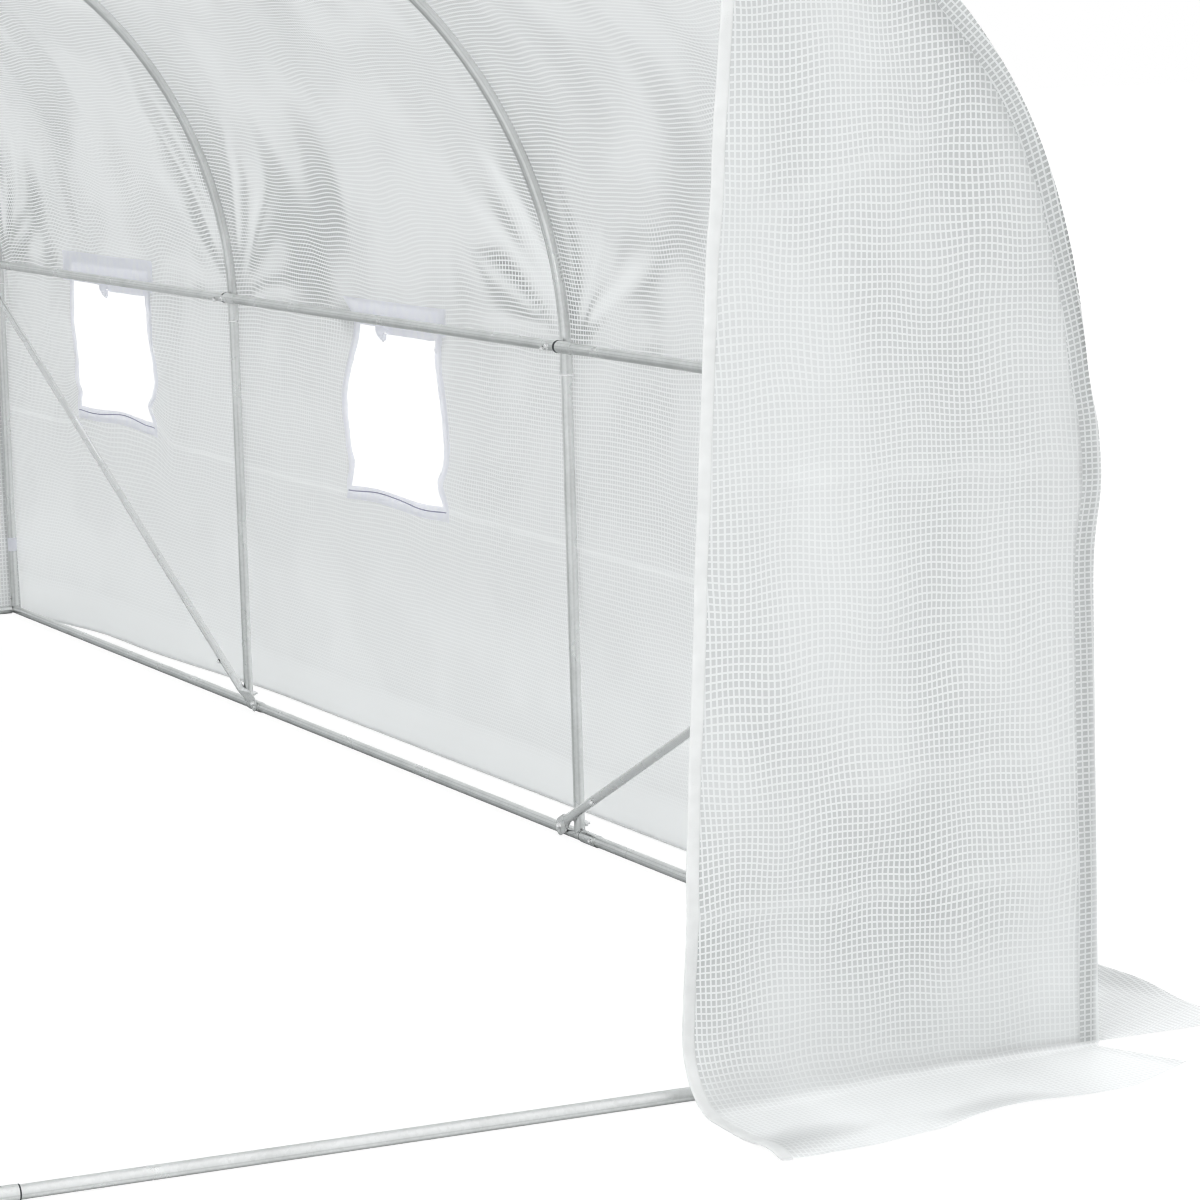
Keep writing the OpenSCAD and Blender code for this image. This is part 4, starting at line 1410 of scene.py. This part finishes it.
class POLYTUNNEL_OT_stage(Operator):
    """Lay the floor and set the lights, the background and the camera"""

    bl_idname = "polytunnel.stage"
    bl_label = "Stage"

    def execute(self, context):
        scene = context.scene
        size, low_z = 60.0, -0.0008
        corners = np.array([[-1, -1], [1, -1], [1, 1], [-1, 1]]) * size
        mesh = bpy.data.meshes.new("floor")
        mesh.from_pydata([(x, y, low_z) for x, y in corners.tolist()], [], [(0, 1, 2, 3)])
        floor = bpy.data.objects.new("floor", mesh)
        scene.collection.objects.link(floor)
        mesh.materials.append(self.floor_material())
        self.world(scene)
        self.lamp("key_lamp", (-6.5, -9.0, 9.0), 520.0, 5.0)
        self.lamp("fill_lamp", (8.0, 2.0, 7.0), 160.0, 6.0)
        self.camera(scene)
        scene.view_settings.view_transform = "Standard"
        scene.cycles.max_bounces = 6
        scene.cycles.diffuse_bounces = 3
        scene.cycles.glossy_bounces = 2
        scene.cycles.transmission_bounces = 4
        scene.cycles.adaptive_threshold = 0.05
        scene.cycles.adaptive_min_samples = 12
        scene.cycles.filter_width = 1.1
        return {"FINISHED"}

    @staticmethod
    def seen(tree):
        """1 for rays from the camera."""
        return tree.nodes.new("ShaderNodeLightPath").outputs["Is Camera Ray"]

    def floor_material(self):
        """White floor that keeps a soft part of the shadows where it is seen."""
        material, tree = new_material("white_floor")
        gloss = tree.nodes.new("ShaderNodeLightPath").outputs["Is Glossy Ray"]
        tone = mix_colour(tree, gloss, (0.92, 0.92, 0.92, 1), (0.75, 0.76, 0.76, 1))
        matt = link_node(tree, "ShaderNodeBsdfDiffuse", {"Color": tone}).outputs[0]
        white = link_node(tree, "ShaderNodeEmission", {"Color": (1, 1, 1, 1), "Strength": 1.08}).outputs[0]
        share = maths(tree, "MULTIPLY", self.seen(tree), 0.86)
        close_material(tree, link_node(tree, "ShaderNodeMixShader", {0: share, 1: matt, 2: white}).outputs[0])
        return material

    def world(self, scene):
        """Even white light, with a plain white background where it is seen."""
        world = bpy.data.worlds.new("studio")
        scene.world = world
        world.use_nodes = True
        tree = world.node_tree
        tree.nodes.clear()
        way = link_node(tree, "ShaderNodeTexCoord").outputs["Generated"]
        up = link_node(tree, "ShaderNodeSeparateXYZ", {0: way}).outputs["Z"]
        power = map_range(tree, up, -0.1, 0.8, 0.95, 1.04)
        light = link_node(
            tree, "ShaderNodeBackground", {"Color": (0.985, 0.993, 1, 1), "Strength": power}
        ).outputs[0]
        white = link_node(tree, "ShaderNodeBackground", {"Color": (1, 1, 1, 1), "Strength": 1.0}).outputs[0]
        mix = link_node(tree, "ShaderNodeMixShader", {0: self.seen(tree), 1: light, 2: white}).outputs[0]
        output = tree.nodes.new("ShaderNodeOutputWorld")
        tree.links.new(mix, output.inputs["Surface"])

    @staticmethod
    def lamp(name, place, power, size):
        """A square soft lamp that faces the middle of the tunnel."""
        data = bpy.data.lights.new(name, "AREA")
        data.energy = power
        data.size = size
        lamp = bpy.data.objects.new(name, data)
        lamp.location = place
        aim = Vector((0, -1.5, 0.8)) - Vector(place)
        lamp.rotation_euler = aim.to_track_quat("-Z", "Y").to_euler()
        bpy.context.scene.collection.objects.link(lamp)

    @staticmethod
    def camera(scene):
        """The photograph's view, from its place, yaw, pitch and roll."""
        view = scene.polytunnel_view
        data = bpy.data.cameras.new("camera")
        data.sensor_width = 36.0
        data.lens = view.lens
        data.clip_end = 200.0
        camera = bpy.data.objects.new("camera", data)
        ahead = Vector((
            np.sin(view.yaw) * np.cos(view.pitch), np.cos(view.yaw) * np.cos(view.pitch), -np.sin(view.pitch)
        ))
        right = Vector((np.cos(view.yaw), -np.sin(view.yaw), 0))
        up = right.cross(ahead)
        turned_right = right * np.cos(view.roll) + up * np.sin(view.roll)
        turned_up = up * np.cos(view.roll) - right * np.sin(view.roll)
        axes = Matrix((turned_right, turned_up, -ahead)).transposed().to_4x4()
        place = Vector((HALF_W, HOOP_Y[0], 0)) + Vector(view.place)
        camera.matrix_world = Matrix.Translation(place) @ axes
        scene.collection.objects.link(camera)
        scene.camera = camera


class POLYTUNNEL_PT_panel(Panel):
    """Settings and pieces of the polytunnel"""

    bl_idname = "POLYTUNNEL_PT_panel"
    bl_label = "Polytunnel"
    bl_space_type = "VIEW_3D"
    bl_region_type = "UI"
    bl_category = "Polytunnel"

    def draw(self, context):
        for group in SETTINGS:
            box = self.layout.box()
            settings = getattr(context.scene, group)
            for name in settings.__annotations__:
                box.prop(settings, name)
        for operator in OPERATORS:
            self.layout.operator(operator.bl_idname)


SETTINGS = {
    "polytunnel_film": FilmSettings,
    "polytunnel_cover": CoverSettings,
    "polytunnel_steel": SteelSettings,
    "polytunnel_view": ViewSettings,
}
OPERATORS = (
    POLYTUNNEL_OT_finishes,
    POLYTUNNEL_OT_cover,
    POLYTUNNEL_OT_flaps,
    POLYTUNNEL_OT_front,
    POLYTUNNEL_OT_back,
    POLYTUNNEL_OT_skirts,
    POLYTUNNEL_OT_braces,
    POLYTUNNEL_OT_joints,
    POLYTUNNEL_OT_stage,
)


def register():
    """Register the settings, operators and panel."""
    for name, group in SETTINGS.items():
        bpy.utils.register_class(group)
        setattr(bpy.types.Scene, name, PointerProperty(type=group))
    for item in (*OPERATORS, POLYTUNNEL_PT_panel):
        bpy.utils.register_class(item)


def unregister():
    """Take the settings, operators and panel out again."""
    for item in (POLYTUNNEL_PT_panel, *reversed(OPERATORS)):
        bpy.utils.unregister_class(item)
    for name, group in reversed(SETTINGS.items()):
        delattr(bpy.types.Scene, name)
        bpy.utils.unregister_class(group)


def main():
    register()
    bpy.ops.polytunnel.finishes()
    bpy.ops.polytunnel.cover()
    bpy.ops.polytunnel.flaps()
    bpy.ops.polytunnel.front()
    bpy.ops.polytunnel.back()
    bpy.ops.polytunnel.skirts()
    bpy.ops.polytunnel.braces()
    bpy.ops.polytunnel.joints()
    bpy.ops.polytunnel.stage()


if __name__ == "__main__":
    main()
